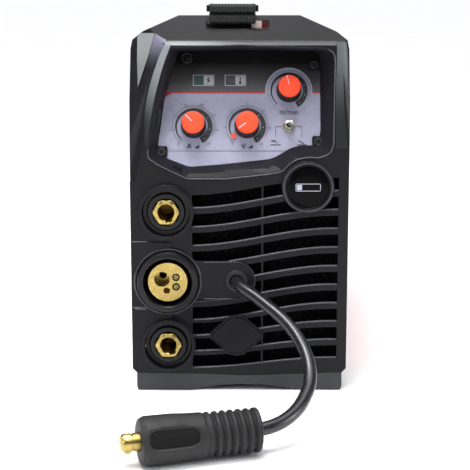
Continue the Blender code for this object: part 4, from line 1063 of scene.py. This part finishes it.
def socket_rings(name):
    """The insulator round a contact, with its raised rings."""
    profile = [(0.0108, 0.0008), (0.0112, 0.0012), (0.0146, 0.0012), (0.0150, 0.0008), (0.0152, -0.0008)]
    profile += [(0.0158, -0.0013), (0.0182, -0.0013), (0.0185, -0.0008), (0.0188, -0.0013), (0.0189, -0.0050)]
    profile.append((0.0108, -0.0050))
    node = name + "_socket_body"
    turned(name + "_insulator", profile, "black_plastic", front_frame(node), 96, replaces=node)


def torch_socket():
    """The torch connector: a threaded collar, two trigger pins and the end of the wire guide."""
    collar = [(0.0197, 0.0074), (0.0203, 0.0080), (0.0232, 0.0080), (0.0241, 0.0076), (0.0246, 0.0066)]
    collar += [(0.0246, 0.0052), (0.0240, 0.0048), (0.0240, 0.0040), (0.0247, 0.0036), (0.0247, 0.0008)]
    collar += [(0.0225, 0.0008), (0.0225, -0.0280), (0.0165, -0.0280), (0.0165, -0.0200), (0.0192, -0.0190)]
    for turn in range(8):
        collar += [(0.0192, -0.0170 + 0.0026 * turn), (0.0197, -0.0157 + 0.0026 * turn)]
    node = "torch_socket_collar"
    turned("torch_collar", collar, "black_plastic", front_frame(node), 112, replaces=node)
    ring = [(0.0021, 0.0041), (0.0028, 0.0045), (0.0031, 0.0041), (0.0030, -0.0090), (0.0021, -0.0090)]
    tube = [(0.0008, 0.0036), (0.0017, 0.0037), (0.0020, 0.0031), (0.0020, -0.0100), (0.0008, -0.0100)]
    for level in ("upper", "lower"):
        node = "trigger_contact_" + level
        where = front_frame(node)
        turned(f"trigger_insulator_{level}", ring, "black_plastic", where, 32)
        turned(f"trigger_pin_{level}", tube, "brass", where, 32, replaces=node)
    guide = [(0.0030, -0.0120), (0.0062, -0.0120), (0.0062, -0.0170), (0.0030, -0.0170)]
    turned("wire_guide", guide, "brass", local_frame((-0.0625, FRONT, 0.0945), FACING_FRONT), 32)


def badge():
    """A domed disc with a plain mark: an outlined bar with a block in it."""
    where = front_frame("badge")
    dome = [(0, 0.0032), (0.0060, 0.0031), (0.0115, 0.0028), (0.0152, 0.0022), (0.0166, 0.0016)]
    dome += [(0.0168, 0.0009), (0, 0.0009)]
    turned("badge_disc", dome, "badge_gloss", where, 96, ring=False, replaces="badge")
    rim = [(0.0169, 0.0010), (0.0169, 0.0023), (0.0172, 0.0026), (0.0177, 0.0024), (0.0178, 0.0009)]
    turned("badge_rim", rim, "case_plastic", where, 96)
    mark = frame_lines(-0.0100, -0.0031, 0.0100, 0.0031, 0.0005)
    mark.append(rounded(-0.0090, -0.0021, -0.0050, 0.0021, 0.0006))
    piece("badge_mark", prisms(mark, 0.0024, 0.0034), "pale_print", where)


def dust_filter():
    """A near-black foam mat close behind the louvres, a dark sheet that paints the shade inside them."""
    low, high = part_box("front_bezel")
    xs = evenly(low[0] + 0.0515, high[0] - 0.0045, 40)
    zs = evenly(0.0120, 0.1730, 48)
    shape = bmesh.new()
    rows = []
    for z in zs:
        swells = [0.0004 * math.sin(90 * x + 3 * math.sin(70 * z)) * math.cos(110 * z) for x in xs]
        rows.append([shape.verts.new((x, z, swell)) for x, swell in zip(xs, swells)])
    for lower, upper in zip(rows, rows[1:]):
        for index in range(len(xs) - 1):
            shape.faces.new((lower[index], lower[index + 1], upper[index + 1], upper[index]))
    made = piece("dust_filter", shape, "filter_foam", local_frame((0, FRONT + 0.0130, 0), FACING_FRONT))
    thick = made.modifiers.new("Thickness", "SOLIDIFY")
    thick.thickness = 0.0030
    thick.offset = -1


# ---------------------------------------------------------------- bezel facets


def face_y(x, z):
    """The depth of the front bezel's face at (x, z)."""
    bezel = frame["nodes"]["front_bezel"]
    back = bezel.matrix_world.inverted()
    hit, spot, _, _ = bezel.ray_cast(back @ Vector((x, -1, z)), back.to_3x3() @ Vector((0, 1, 0)))
    return (bezel.matrix_world @ spot).y if hit else FRONT + 0.004


# Each step of the lip: z, its outer and inner x, and its height
LIP_STEPS = (
    (0.2840, -0.0576, -0.0530, -0.0016), (0.2826, -0.0582, -0.0534, -0.0006),
    (0.2812, -0.0590, -0.0538, 0.0004), (0.2791, -0.0600, -0.0546, 0.0009),
    (0.2745, -0.0622, -0.0564, 0.0011), (0.2700, -0.0641, -0.0582, 0.0011),
    (0.2609, -0.0674, -0.0612, 0.0011), (0.2504, -0.0706, -0.0642, 0.0010),
    (0.2399, -0.0732, -0.0668, 0.0009), (0.2294, -0.0748, -0.0689, 0.0008),
    (0.2188, -0.0756, -0.0706, 0.0006), (0.2090, -0.0752, -0.0718, 0.0004),
    (0.2010, -0.0740, -0.0724, 0.0003),
)


def recess_lip():
    """A raised lip along the recess's left side, with a painted highlight that fades downward."""
    rings = []
    for z, left, right, height in LIP_STEPS:
        outer, inner = face_y(left, z) - 0.0002, FRONT - height
        crown = []
        for share in (0, 0.15, 0.3, 0.5, 0.7, 0.85, 1):
            x = left + (right - left) * share
            y = outer + (inner - outer) * math.sin(math.pi / 2 * share) ** 0.8
            crown.append((x, min(y, face_y(x, z) - 0.0003), z))
        rings.append([*crown, (right, inner + 0.0016, z), (left, outer + 0.0016, z)])
    piece("recess_lip", sweep(rings), "lip_plastic", sharp=60)


# How far a skin stands out from the bezel's face, and reaches behind it
SKIN = 0.0003


def skin(points):
    """A thin closed ring of points that straddles the bezel's face at (x, z) points."""
    on_face = [(x, face_y(x, z), z) for x, z in points]
    return [(x, y - SKIN, z) for x, y, z in on_face] + [(x, y + SKIN, z) for x, y, z in reversed(on_face)]


# Rows of the curved facet between the wedge and the lip: z, its left and right x
CORNER_ROWS = (
    (0.2900, -0.0661, -0.0655), (0.2885, -0.0666, -0.0632), (0.2870, -0.0671, -0.0606),
    (0.2853, -0.0677, -0.0576), (0.2836, -0.0683, -0.0574), (0.2812, -0.0690, -0.0586),
    (0.2791, -0.0696, -0.0596), (0.2745, -0.0711, -0.0619), (0.2690, -0.0730, -0.0642),
    (0.2630, -0.0750, -0.0664),
)


def corner_band():
    """The curved facet between the wedge and the lip, laid on the bezel's face, with a painted highlight at
    its top that fades downward.
    """
    rings = [skin([(x, z) for x in evenly(left, right, 8)]) for z, left, right in CORNER_ROWS]
    piece("corner_band", sweep(rings), "corner_plastic", sharp=60)


def brow_band():
    """The soft edge under the forehead, with a painted highlight brightest at its left end."""
    heights = (0.2812, 0.2822, 0.2832, 0.2842)
    rings = [skin([(x, z) for z in heights]) for x in evenly(-0.0550, 0.0760, 24)]
    piece("brow_band", sweep(rings), "brow_plastic", sharp=60)


# The recess over the control plate: (x, z) of its rim on the face, and of the plate's edge below it
RECESS = (
    ((-0.0540, 0.2790), (-0.0500, 0.2750)), ((0.0000, 0.2805), (0.0000, 0.2765)),
    ((0.0680, 0.2785), (0.0620, 0.2755)), ((0.0735, 0.2755), (0.0656, 0.2720)),
    ((0.0748, 0.2700), (0.0658, 0.2660)), ((0.0745, 0.2380), (0.0658, 0.2370)),
    ((0.0745, 0.2030), (0.0658, 0.2120)), ((0.0720, 0.1965), (0.0640, 0.2035)),
    ((0.0640, 0.1930), (0.0580, 0.2005)), ((0.0548, 0.1935), (0.0485, 0.2005)),
    ((0.0460, 0.1920), (0.0410, 0.1985)), ((0.0395, 0.1880), (0.0335, 0.1940)),
    ((0.0340, 0.1820), (0.0265, 0.1905)), ((0.0240, 0.1800), (0.0200, 0.1895)),
    ((-0.0115, 0.1762), (-0.0140, 0.1860)), ((-0.0418, 0.1762), (-0.0400, 0.1840)),
    ((-0.0640, 0.1870), (-0.0580, 0.1905)), ((-0.0722, 0.1925), (-0.0655, 0.1960)),
    ((-0.0726, 0.1970), (-0.0660, 0.2010)), ((-0.0635, 0.2370), (-0.0610, 0.2370)),
)


def softened(outline, amount):
    """A closed outline moved outward by about an amount, with two points near each corner that round it."""
    centre = sum((Vector(point) for point in outline), Vector((0, 0))) / len(outline)
    result = []
    for index, point in enumerate(outline):
        point, before = Vector(point), Vector(outline[index - 1])
        ahead = Vector(outline[(index + 1) % len(outline)])
        tangent = (ahead - before).normalized()
        outward = Vector((tangent.y, -tangent.x))
        outward *= 1 if outward.dot(point - centre) > 0 else -1
        near = min(0.28, 0.0022 / (before - point).length), min(0.28, 0.0022 / (ahead - point).length)
        for spot in (point.lerp(before, near[0]), point.lerp(before, near[0] / 3).lerp(ahead, near[1] / 3),
                     point.lerp(ahead, near[1])):
            result.append(spot + outward * amount)
    return result


def recess_liner():
    """The recess's own smooth wall, from a rounded bead on its rim down to the plate."""
    rim, foot = zip(*RECESS)
    bead = ((0.0013, 0.0003), (0.0011, -0.0004), (0.0005, -0.0008), (0.0, -0.0008), (-0.0006, -0.0002))
    bead += ((-0.0008, 0.0008),)
    rings = [[(x, FRONT + depth, z) for x, z in softened(rim, out)] for out, depth in bead]
    for out, depth in ((-0.0007, -0.0003), (0.0010, 0.0002)):
        rings.append([(x, plate_y(z) + depth, z) for x, z in softened(foot, out)])
    piece("recess_liner", hoop(rings), "liner_plastic", sharp=50)


def recess_bead():
    """A thin thread on the rim, lighter than the case as a painted highlight, from its upper right corner
    round to its lower left one.
    """
    rim = [on_rim for on_rim, _ in RECESS]
    thread = circle((0.0003, -0.0006), 0.00045, 8)
    upper_right, lower_left = 8, 57
    paths = [softened(rim, out)[upper_right:lower_left] for out, _ in thread]
    rings = []
    for spots in zip(*paths):
        rings.append([(spot.x, FRONT + depth, spot.y) for spot, (_, depth) in zip(spots, thread)])
    piece("recess_bead", sweep(rings), "rim_plastic", sharp=80)


LOUVRE_TOP = 0.1668
LOUVRE_PITCH = 0.0154
LOUVRE_SPAN = (-0.0380, 0.0795)


def louvre_line(index, x):
    """The height of a louvre blade's top edge at x."""
    drop = max(0.0142 - 0.0022 * max(index - 6, 0), 0.0086)
    return LOUVRE_TOP - LOUVRE_PITCH * index - drop * (1 - smoothstep((x - LOUVRE_SPAN[0]) / 0.113))


def louvre_edges():
    """A rounded bead along the top edge of each louvre blade, lighter than the case as a painted highlight.
    """
    left, right = LOUVRE_SPAN
    profile = ((0.0016, -0.0010), (-0.0001, -0.0010), (-0.0005, -0.0006), (-0.0004, -0.0001),
               (0.0003, 0.0003), (0.0010, 0.0004), (0.0016, 0.0001))
    shape = bmesh.new()
    for index in range(10):
        rings = []
        for x in evenly(left + 0.0004, right - 0.0004, 40):
            rings.append([(x, FRONT + depth, louvre_line(index, x) + rise) for depth, rise in profile])
        sweep(rings, shape)
    piece("louvre_edges", shape, "bead_plastic", sharp=80)


# The rounded rings of the surrounds: the node in the middle, inner and outer radius, height
SURROUNDS = (
    ("positive_socket_body", 0.0193, 0.0222, 0.0026), ("negative_socket_body", 0.0193, 0.0222, 0.0026),
    ("torch_socket_collar", 0.0256, 0.0277, 0.0024), ("badge", 0.0181, 0.0210, 0.0023),
)


def collar_beads():
    """Rounded rings on the surrounds of the sockets and the badge, a little lighter than the case as a
    painted highlight.
    """
    for node, inner, outer, height in SURROUNDS:
        crown = ((0, -0.0008), (0.08, 0.0005), (0.3, 0.0009), (0.62, 0.0008), (0.88, 0.0003), (1, -0.0006))
        profile = [(inner + share * (outer - inner), height + rise) for share, rise in crown]
        profile.append((outer + 0.0002, height - 0.0018))
        turned(node + "_ring", profile, "ring_plastic", front_frame(node), 96, sharp=50)


def slot_rim():
    """A rounded rim in the strap's slot on the forehead."""
    low, high = 0.2925, 0.3010
    base = face_y(0.05, low)
    slope = (face_y(0.05, high) - base) / (high - low)
    inner = rounded(-0.0258, 0.2937, 0.0228, 0.2999, 0.0030)
    outer = rounded(-0.0266, 0.2929, 0.0236, 0.3007, 0.0036)
    rings = []
    for outline, depth in ((inner, 0.0035), (inner, -0.0002), (outer, -0.0004), (outer, 0.0035)):
        rings.append([(x, base + slope * (z - low) + depth, z) for x, z in outline])
    piece("slot_rim", hoop(rings), "case_plastic", sharp=50)


def rod(points, radius, shape):
    """A thin rounded bead along (x, y, z) points that run mostly sideways."""
    knots = [Vector(point) for point in points]
    rings = []
    for index, knot in enumerate(knots):
        ahead = (knots[min(index + 1, len(knots) - 1)] - knots[max(index - 1, 0)]).normalized()
        side = ahead.cross(Vector((0, 1, 0))).normalized()
        section = circle((0, 0), radius, 10)
        rings.append([knot + side * across + Vector((0, depth, 0)) for across, depth in section])
    sweep(rings, shape)


def ledge_beads():
    """Rounded edges on the ledges at the left, pale as painted highlights."""
    shape = bmesh.new()
    for z, right in ((0.1246, -0.0740), (0.0704, -0.0745), (0.0694, -0.0750)):
        rod([(x, face_y(x, z) - 0.0001, z) for x in evenly(DOOR_FACE_X, right, 6)], 0.0004, shape)
    piece("ledge_beads", shape, "trim_plastic", sharp=80)


def plate_bead():
    """A rounded edge on the lead's plate, a little lighter than the case as a painted highlight."""
    shape = bmesh.new()
    x, z, height, face = -0.0027, 0.0930, 0.0152, FRONT - 0.0024
    end = [clock((x, z), height, angle) for angle in evenly(0, 180, 24)]
    outline = [(-0.0290, z + height), *end, (-0.0290, z - height)]
    rod([(across, face, up) for across, up in outline], 0.0004, shape)
    piece("plate_bead", shape, "ring_plastic", sharp=80)


def skirt():
    """The lighter band along the bottom, with its arch between the feet; its lighter tone is painted light
    bounced up from the floor.
    """
    outline = [(-0.0834, 0.0004), (-0.0420, 0.0004), (-0.0260, 0.0030), (-0.0110, 0.0047), (0.0030, 0.0052)]
    outline += [(0.0170, 0.0047), (0.0320, 0.0030), (0.0480, 0.0004), (0.0834, 0.0004), (0.0834, 0.0148)]
    outline += [(0.0600, 0.0142), (0.0200, 0.0128), (0.0000, 0.0126), (-0.0250, 0.0136), (-0.0500, 0.0146)]
    outline.append((-0.0834, 0.0150))
    piece("skirt", prism(outline, -0.0004, 0.0004), "skirt_plastic", local_frame((0, FRONT, 0), FACING_FRONT))


# Each step of the cheek: z, its inner and outer x, and how far back its outer edge is
CHEEK_STEPS = (
    (0.2838, 0.0760, 0.0846, 0.0062), (0.2750, 0.0763, 0.0858, 0.0062), (0.2550, 0.0760, 0.0864, 0.0050),
    (0.2350, 0.0758, 0.0869, 0.0038), (0.2150, 0.0758, 0.0872, 0.0022), (0.2000, 0.0765, 0.0873, 0.0010),
)


def right_cheek():
    """The rounded cheek on the right of the recess, with a painted highlight that fades downward."""
    proud = 0.0010
    rings = []
    for z, inner, outer, depth in CHEEK_STEPS:
        ring = []
        for turn in (math.radians(angle) for angle in evenly(0, 90, 8)):
            y = FRONT - proud + (depth + proud) * (1 - math.cos(turn))
            ring.append((inner + (outer - inner) * math.sin(turn), min(y, FRONT + depth), z))
        rings.append([*ring, (inner, FRONT + depth, z)])
    piece("right_cheek", sweep(rings), "cheek_plastic", sharp=60)


def corner_wedge():
    """The wedge on the bezel's upper left corner, furthest back at its top; its pale tone is a painted
    highlight.
    """
    outer = ((-0.0664, 0.2905, 0.0058), (-0.0780, 0.2903, 0.0094), (-0.0805, 0.2873, 0.0098),
             (-0.0808, 0.2700, 0.0078), (-0.0803, 0.2480, 0.0055), (-0.0780, 0.2550, 0.0050),
             (-0.0748, 0.2640, 0.0049), (-0.0714, 0.2740, 0.0050), (-0.0688, 0.2828, 0.0053))
    face = [(x, FRONT + depth, z) for x, z, depth in outer]
    under = [(x, y + 0.0035, z) for x, y, z in face]
    piece("corner_wedge", sweep([face, under]), "wedge_plastic", sharp=20)


# ---------------------------------------------------------------- carrying strap

STRAP_WIDTH = 0.0365
STRAP_THICK = 0.0018
STRAP_X = -0.0055
CASE_HEIGHT = 0.304
SLOT_TOP = 0.3000
REAR_DROP = 0.0135


def strap_path():
    """The webbing's middle line as (y, z), from under the front bar over the top to under the rear bar."""
    level = (SLOT_TOP + CASE_HEIGHT) / 2
    radius = 0.0035
    tail = [(0.060, level - 0.0012), (0.047, level - 0.0020), (0.034, level - radius)]
    front = [*tail, *arc((0.010, level), radius, 270, 90, 12)]
    rear = [(BACK - depth, z - REAR_DROP) for depth, z in reversed(front)]
    return [(FRONT + depth, z) for depth, z in front] + rear


def tape_section():
    """The tape's section: its upper side from left to right, then its lower side back."""
    half, thick = STRAP_WIDTH / 2, STRAP_THICK / 2
    upper = [(-half, 0), (-half + 0.0006, thick), (-half + 0.0025, thick), (-half + 0.0035, thick * 0.8)]
    upper += [(0, thick * 0.85), (half - 0.0035, thick * 0.8), (half - 0.0025, thick), (half - 0.0006, thick)]
    return [*upper, (half, 0), *((x, -height) for x, height in reversed(upper[1:]))]


def tape(name, path, replaces=None):
    """A length of woven tape along (y, z) points; its UV runs across and along in metres."""
    knots = [Vector((0, y, z)) for y, z in path]
    points = []
    for start, end in zip(knots, knots[1:]):
        count = max(1, round((end - start).length / 0.004))
        points += [start.lerp(end, step / count) for step in range(count)]
    points.append(knots[-1])
    section = tape_section()
    rings = []
    for index, point in enumerate(points):
        ahead = points[min(index + 1, len(points) - 1)] - points[max(index - 1, 0)]
        normal = Vector((1, 0, 0)).cross(ahead).normalized()
        rings.append([point + Vector((STRAP_X + x, 0, 0)) + normal * height for x, height in section])
    lengths = [0.0]
    for start, end in zip(points, points[1:]):
        lengths.append(lengths[-1] + (end - start).length)
    shape = sweep(rings)
    layer = shape.loops.layers.uv.new("tape")
    shape.verts.index_update()
    for face in shape.faces:
        for loop in face.loops:
            ring, spot = divmod(loop.vert.index, len(section))
            loop[layer].uv = (section[spot][0], lengths[ring])
    piece(name, shape, "webbing", sharp=60, replaces=replaces)


def carry_strap():
    tape("strap", strap_path(), "carry_strap")


def strap_fold():
    """The strap's end, folded over into a thick roll above the front bar."""
    below = [(0.052, 0.3078), (0.030, 0.3075), (0.0125, 0.3074), (0.0098, 0.3071)]
    bend = arc((0.0074, 0.3096), 0.0027, 270, 90, 9)
    above = [(0.0130, 0.3122), (0.030, 0.3118), (0.040, 0.3108), (0.056, 0.3097)]
    tape("strap_fold", [(FRONT + depth, z) for depth, z in (*below, *bend, *above)])


def strap_slider():
    """A ladder-lock slider: three round bars between two side rails."""
    low, high = (Vector(corner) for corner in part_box("strap_slider"))
    where = local_frame(((low.x + high.x) / 2, 0, low.z), FACING_UP)
    half = (high.x - low.x) / 2
    shape = bmesh.new()
    for y in (low.y + 0.0013, (low.y + high.y) / 2, high.y - 0.0013):
        section = circle((y, 0.0027), 0.0012, 16)
        sweep([[(x, *spot) for spot in section] for x in (-half + 0.0005, half - 0.0005)], shape)
    front, back = low.y - 0.0010, high.y - 0.0004
    for left, right in ((-half, 0.0019 - half), (half - 0.0019, half)):
        prism(rounded(left, front, right, back, 0.0007), 0.0002, 0.0050, shape)
    piece("slider", shape, "black_plastic", where, replaces="strap_slider")


# ---------------------------------------------------------------- the rest of the case


def cover_ramp():
    """A folded ramp on the cover that closes the view through the strap's slot, black as painted shade, and
    on the red cover behind the slot a dark red tab of painted shade and a pale patch of painted reflection.
    """
    base = 0.2752
    side = [(0.0565, base), (0.0570, 0.2966), (0.0585, 0.2972), (0.0640, 0.2958), (0.0950, base)]
    stations = ((-0.052, 0.02), (-0.044, 0.96), (-0.042, 1), (0.042, 1), (0.044, 0.96), (0.052, 0.02))
    rings = [[(x, FRONT + depth, base + (z - base) * rise) for depth, z in side] for x, rise in stations]
    piece("cover_ramp", sweep(rings), "black_plastic", sharp=25)
    behind_slot = local_frame((0, FRONT + 0.0560, 0), FACING_FRONT)
    # The tab's dark red is painted shade, and the pale patch beside it a painted reflection.
    tab = rounded(0.0185, 0.2760, 0.0300, 0.2990, 0.0020)
    piece("cover_tab", prism(tab, 0, 0.0012), "dark_paint", behind_slot)
    reflection_patch = rounded(0.0100, 0.2760, 0.0184, 0.2990, 0.0008)
    piece("cover_seam", prism(reflection_patch, 0, 0.0014), "pale_paint", behind_slot)


def vent_hood(y, z, shape):
    """One pressed louvre, highest in its middle and run out to nothing at its ends."""
    section = ((-0.0030, 0.0026), (-0.0015, 0.0027), (0.0010, 0.0018))
    rings = []
    for share in evenly(0, 1, 8):
        swell = math.sin(math.pi * share) ** 0.35 if 0 < share < 1 else 0.02
        along = y - 0.018 + 0.036 * share
        crown = [(along, z + rise, height * swell + 0.0001) for rise, height in section]
        rings.append([(along, z - 0.0030, 0.0), *crown, (along, z + 0.0035, 0.0)])
    sweep(rings, shape)


def side_vents():
    """Pressed louvres in the right side of the cover, with a black strip under each hood as painted shade in
    its opening.
    """
    where = local_frame((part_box("outer_cover")[1][0], 0, 0), FACING_RIGHT)
    hoods, slits = bmesh.new(), bmesh.new()
    for column in range(3):
        for row in range(9):
            y, z = 0.010 + 0.045 * column, 0.080 + 0.011 * row
            vent_hood(y, z, hoods)
            prism(rectangle(y - 0.0155, z - 0.0042, y + 0.0155, z - 0.0030), 0.00001, 0.0003, slits)
    piece("cover_vents", hoods, "red_paint", where)
    piece("cover_vent_slits", slits, "black_plastic", where)


def winged(radius):
    return lambda angle: radius * (0.80 + 0.20 * abs(math.cos(angle)) ** 3)


def door_details():
    """A pressed panel on the wire compartment's door, and its two finger-turn latches."""
    outline = rounded(-0.1330, 0.0400, 0.1330, 0.2350, 0.012)
    inner = rounded(-0.1300, 0.0430, 0.1300, 0.2320, 0.010)
    rings = []
    for points, height in ((outline, 0.0), (outline, 0.0004), (inner, 0.0008), (inner, 0.0)):
        rings.append([(x, y, height) for x, y in points])
    face = local_frame((DOOR_FACE_X, 0, 0), FACING_LEFT)
    piece("door_press_line", hoop(rings), "red_paint", face, "side_door")
    head = [(0, 0.0012), (winged(0.0086), 0.0012), (winged(0.0092), 0.0008), (winged(0.0094), 0.0002)]
    head.append((0, 0.0002))
    for side in ("front", "rear"):
        body = "door_latch_" + side
        spot = middle(body)
        where = local_frame((DOOR_FACE_X, spot.y, spot.z), FACING_LEFT)
        turned(f"latch_head_{side}", head, "black_plastic", where, 72, ring=False, body=body)


def case_screws():
    """Screws that hold the cover and the bezels."""
    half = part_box("rear_bezel")[1][0]
    spots = [(side, depth, z) for side in (-1, 1) for depth in (-0.180, 0.180) for z in (0.040, 0.215)]
    for index, (side, y, z) in enumerate(spots):
        where = local_frame((side * (half - 0.0001), y, z), FACING_RIGHT if side > 0 else FACING_LEFT)
        screw(f"case_screw_{index}", where @ Matrix.Translation((0, 0, -0.0012)), 0.0036, 0.0012)


def rating_plate():
    """A blank plate and its two rivets."""
    where = local_frame((0, BACK, 0), FACING_BACK)
    plate = prism(rounded(-0.078, 0.176, -0.004, 0.200, 0.002), 0.0001, 0.0006)
    piece("rating_plate", plate, "aluminium", where)
    rivet = [(0, 0.0016), (0.0009, 0.0014), (0.0015, 0.0006), (0, 0.0006)]
    for index, spot in enumerate(((-0.0755, 0.188), (-0.0065, 0.188))):
        piece(f"plate_rivet_{index}", lathe(rivet, 24, centre=spot), "aluminium", where)


def earth_stud():
    flats = hexagon(0.0055)
    nut = [(0, 0.0072), (0.0026, 0.0070), (0.0028, 0.0040), (flats, 0.0036), (flats, 0.0005), (0, 0.0005)]
    where = local_frame((0.060, BACK, 0.040), FACING_BACK)
    turned("earth_stud", nut, "brass", where, 72, ring=False, sharp=25)


def fan_guard():
    """Rings of wire over the fan."""
    fan = middle("fan_frame")
    where = local_frame((fan.x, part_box("fan_frame")[1][1], fan.z), FACING_BACK)
    wires = bmesh.new()
    for radius in (0.014, 0.022, 0.030, 0.038):
        lathe(circle((radius, 0.0012), 0.0008, 8), 64, ring=True, shape=wires)
    piece("fan_guard", wires, "zinc_steel", where)


def wire_coil():
    """The wound wire, with one ridge for each turn on the outside."""
    low, high = (Vector(corner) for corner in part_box("wire_coil"))
    half = (high.x - low.x) / 2
    outer = (high.z - low.z) / 2
    turns = 44
    step = 2 * half / turns
    profile = [(0.0453, half), (0.0453, -half)]
    for turn in range(turns):
        start = -half + step * turn
        profile += [(outer - 0.0006, start), (outer, start + 0.5 * step)]
    profile.append((outer - 0.0006, half))
    where = local_frame((low + high) / 2, FACING_LEFT)
    turned("wound_wire", profile, "copper_wire", where, 96, body="wire_spool", sharp=80, replaces="wire_coil")


def spool_ribs():
    """Spokes and rings on the spool's outer flange."""
    low, high = (Vector(corner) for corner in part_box("wire_spool"))
    where = local_frame((low.x, (low.y + high.y) / 2, (low.z + high.z) / 2), FACING_LEFT)
    shape = bmesh.new()
    for angle in range(0, 360, 45):
        spoke = line(clock((0, 0), 0.034, angle), clock((0, 0), 0.096, angle), 0.0022)
        prism(spoke, -0.0004, 0.0010, shape)
    for radius in (0.0335, 0.0965):
        lathe(rectangle(radius - 0.0012, -0.0004, radius + 0.0012, 0.0012), 96, ring=True, shape=shape)
    piece("spool_ribs", shape, "black_plastic", where, "wire_spool")


def feeder_screws():
    face = local_frame((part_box("feeder_frame")[0][0], 0, 0), FACING_LEFT)
    for index, (y, z) in enumerate(((-0.0945, 0.056), (-0.0435, 0.056), (-0.0945, 0.080), (-0.0435, 0.080))):
        screw(f"feeder_screw_{index}", face @ Matrix.Translation((-y, z, 0)), 0.0030, 0.0020)


dress_cad_nodes()
camera()
studio()
floor()
polarity_lead(plug())
grommet()
label_colours()
dials()
switch_marks()
lamps()
knobs()
mode_switch()
panel_screws()
for pole, keyway in (("positive", math.radians(-70)), ("negative", math.radians(-60))):
    brass_contact(pole, keyway)
    socket_rings(pole)
torch_socket()
badge()
dust_filter()
recess_liner()
recess_bead()
corner_band()
brow_band()
louvre_edges()
collar_beads()
slot_rim()
ledge_beads()
plate_bead()
skirt()
right_cheek()
recess_lip()
corner_wedge()
carry_strap()
strap_fold()
strap_slider()
cover_ramp()
side_vents()
door_details()
case_screws()
rating_plate()
earth_stud()
fan_guard()
wire_coil()
spool_ribs()
feeder_screws()
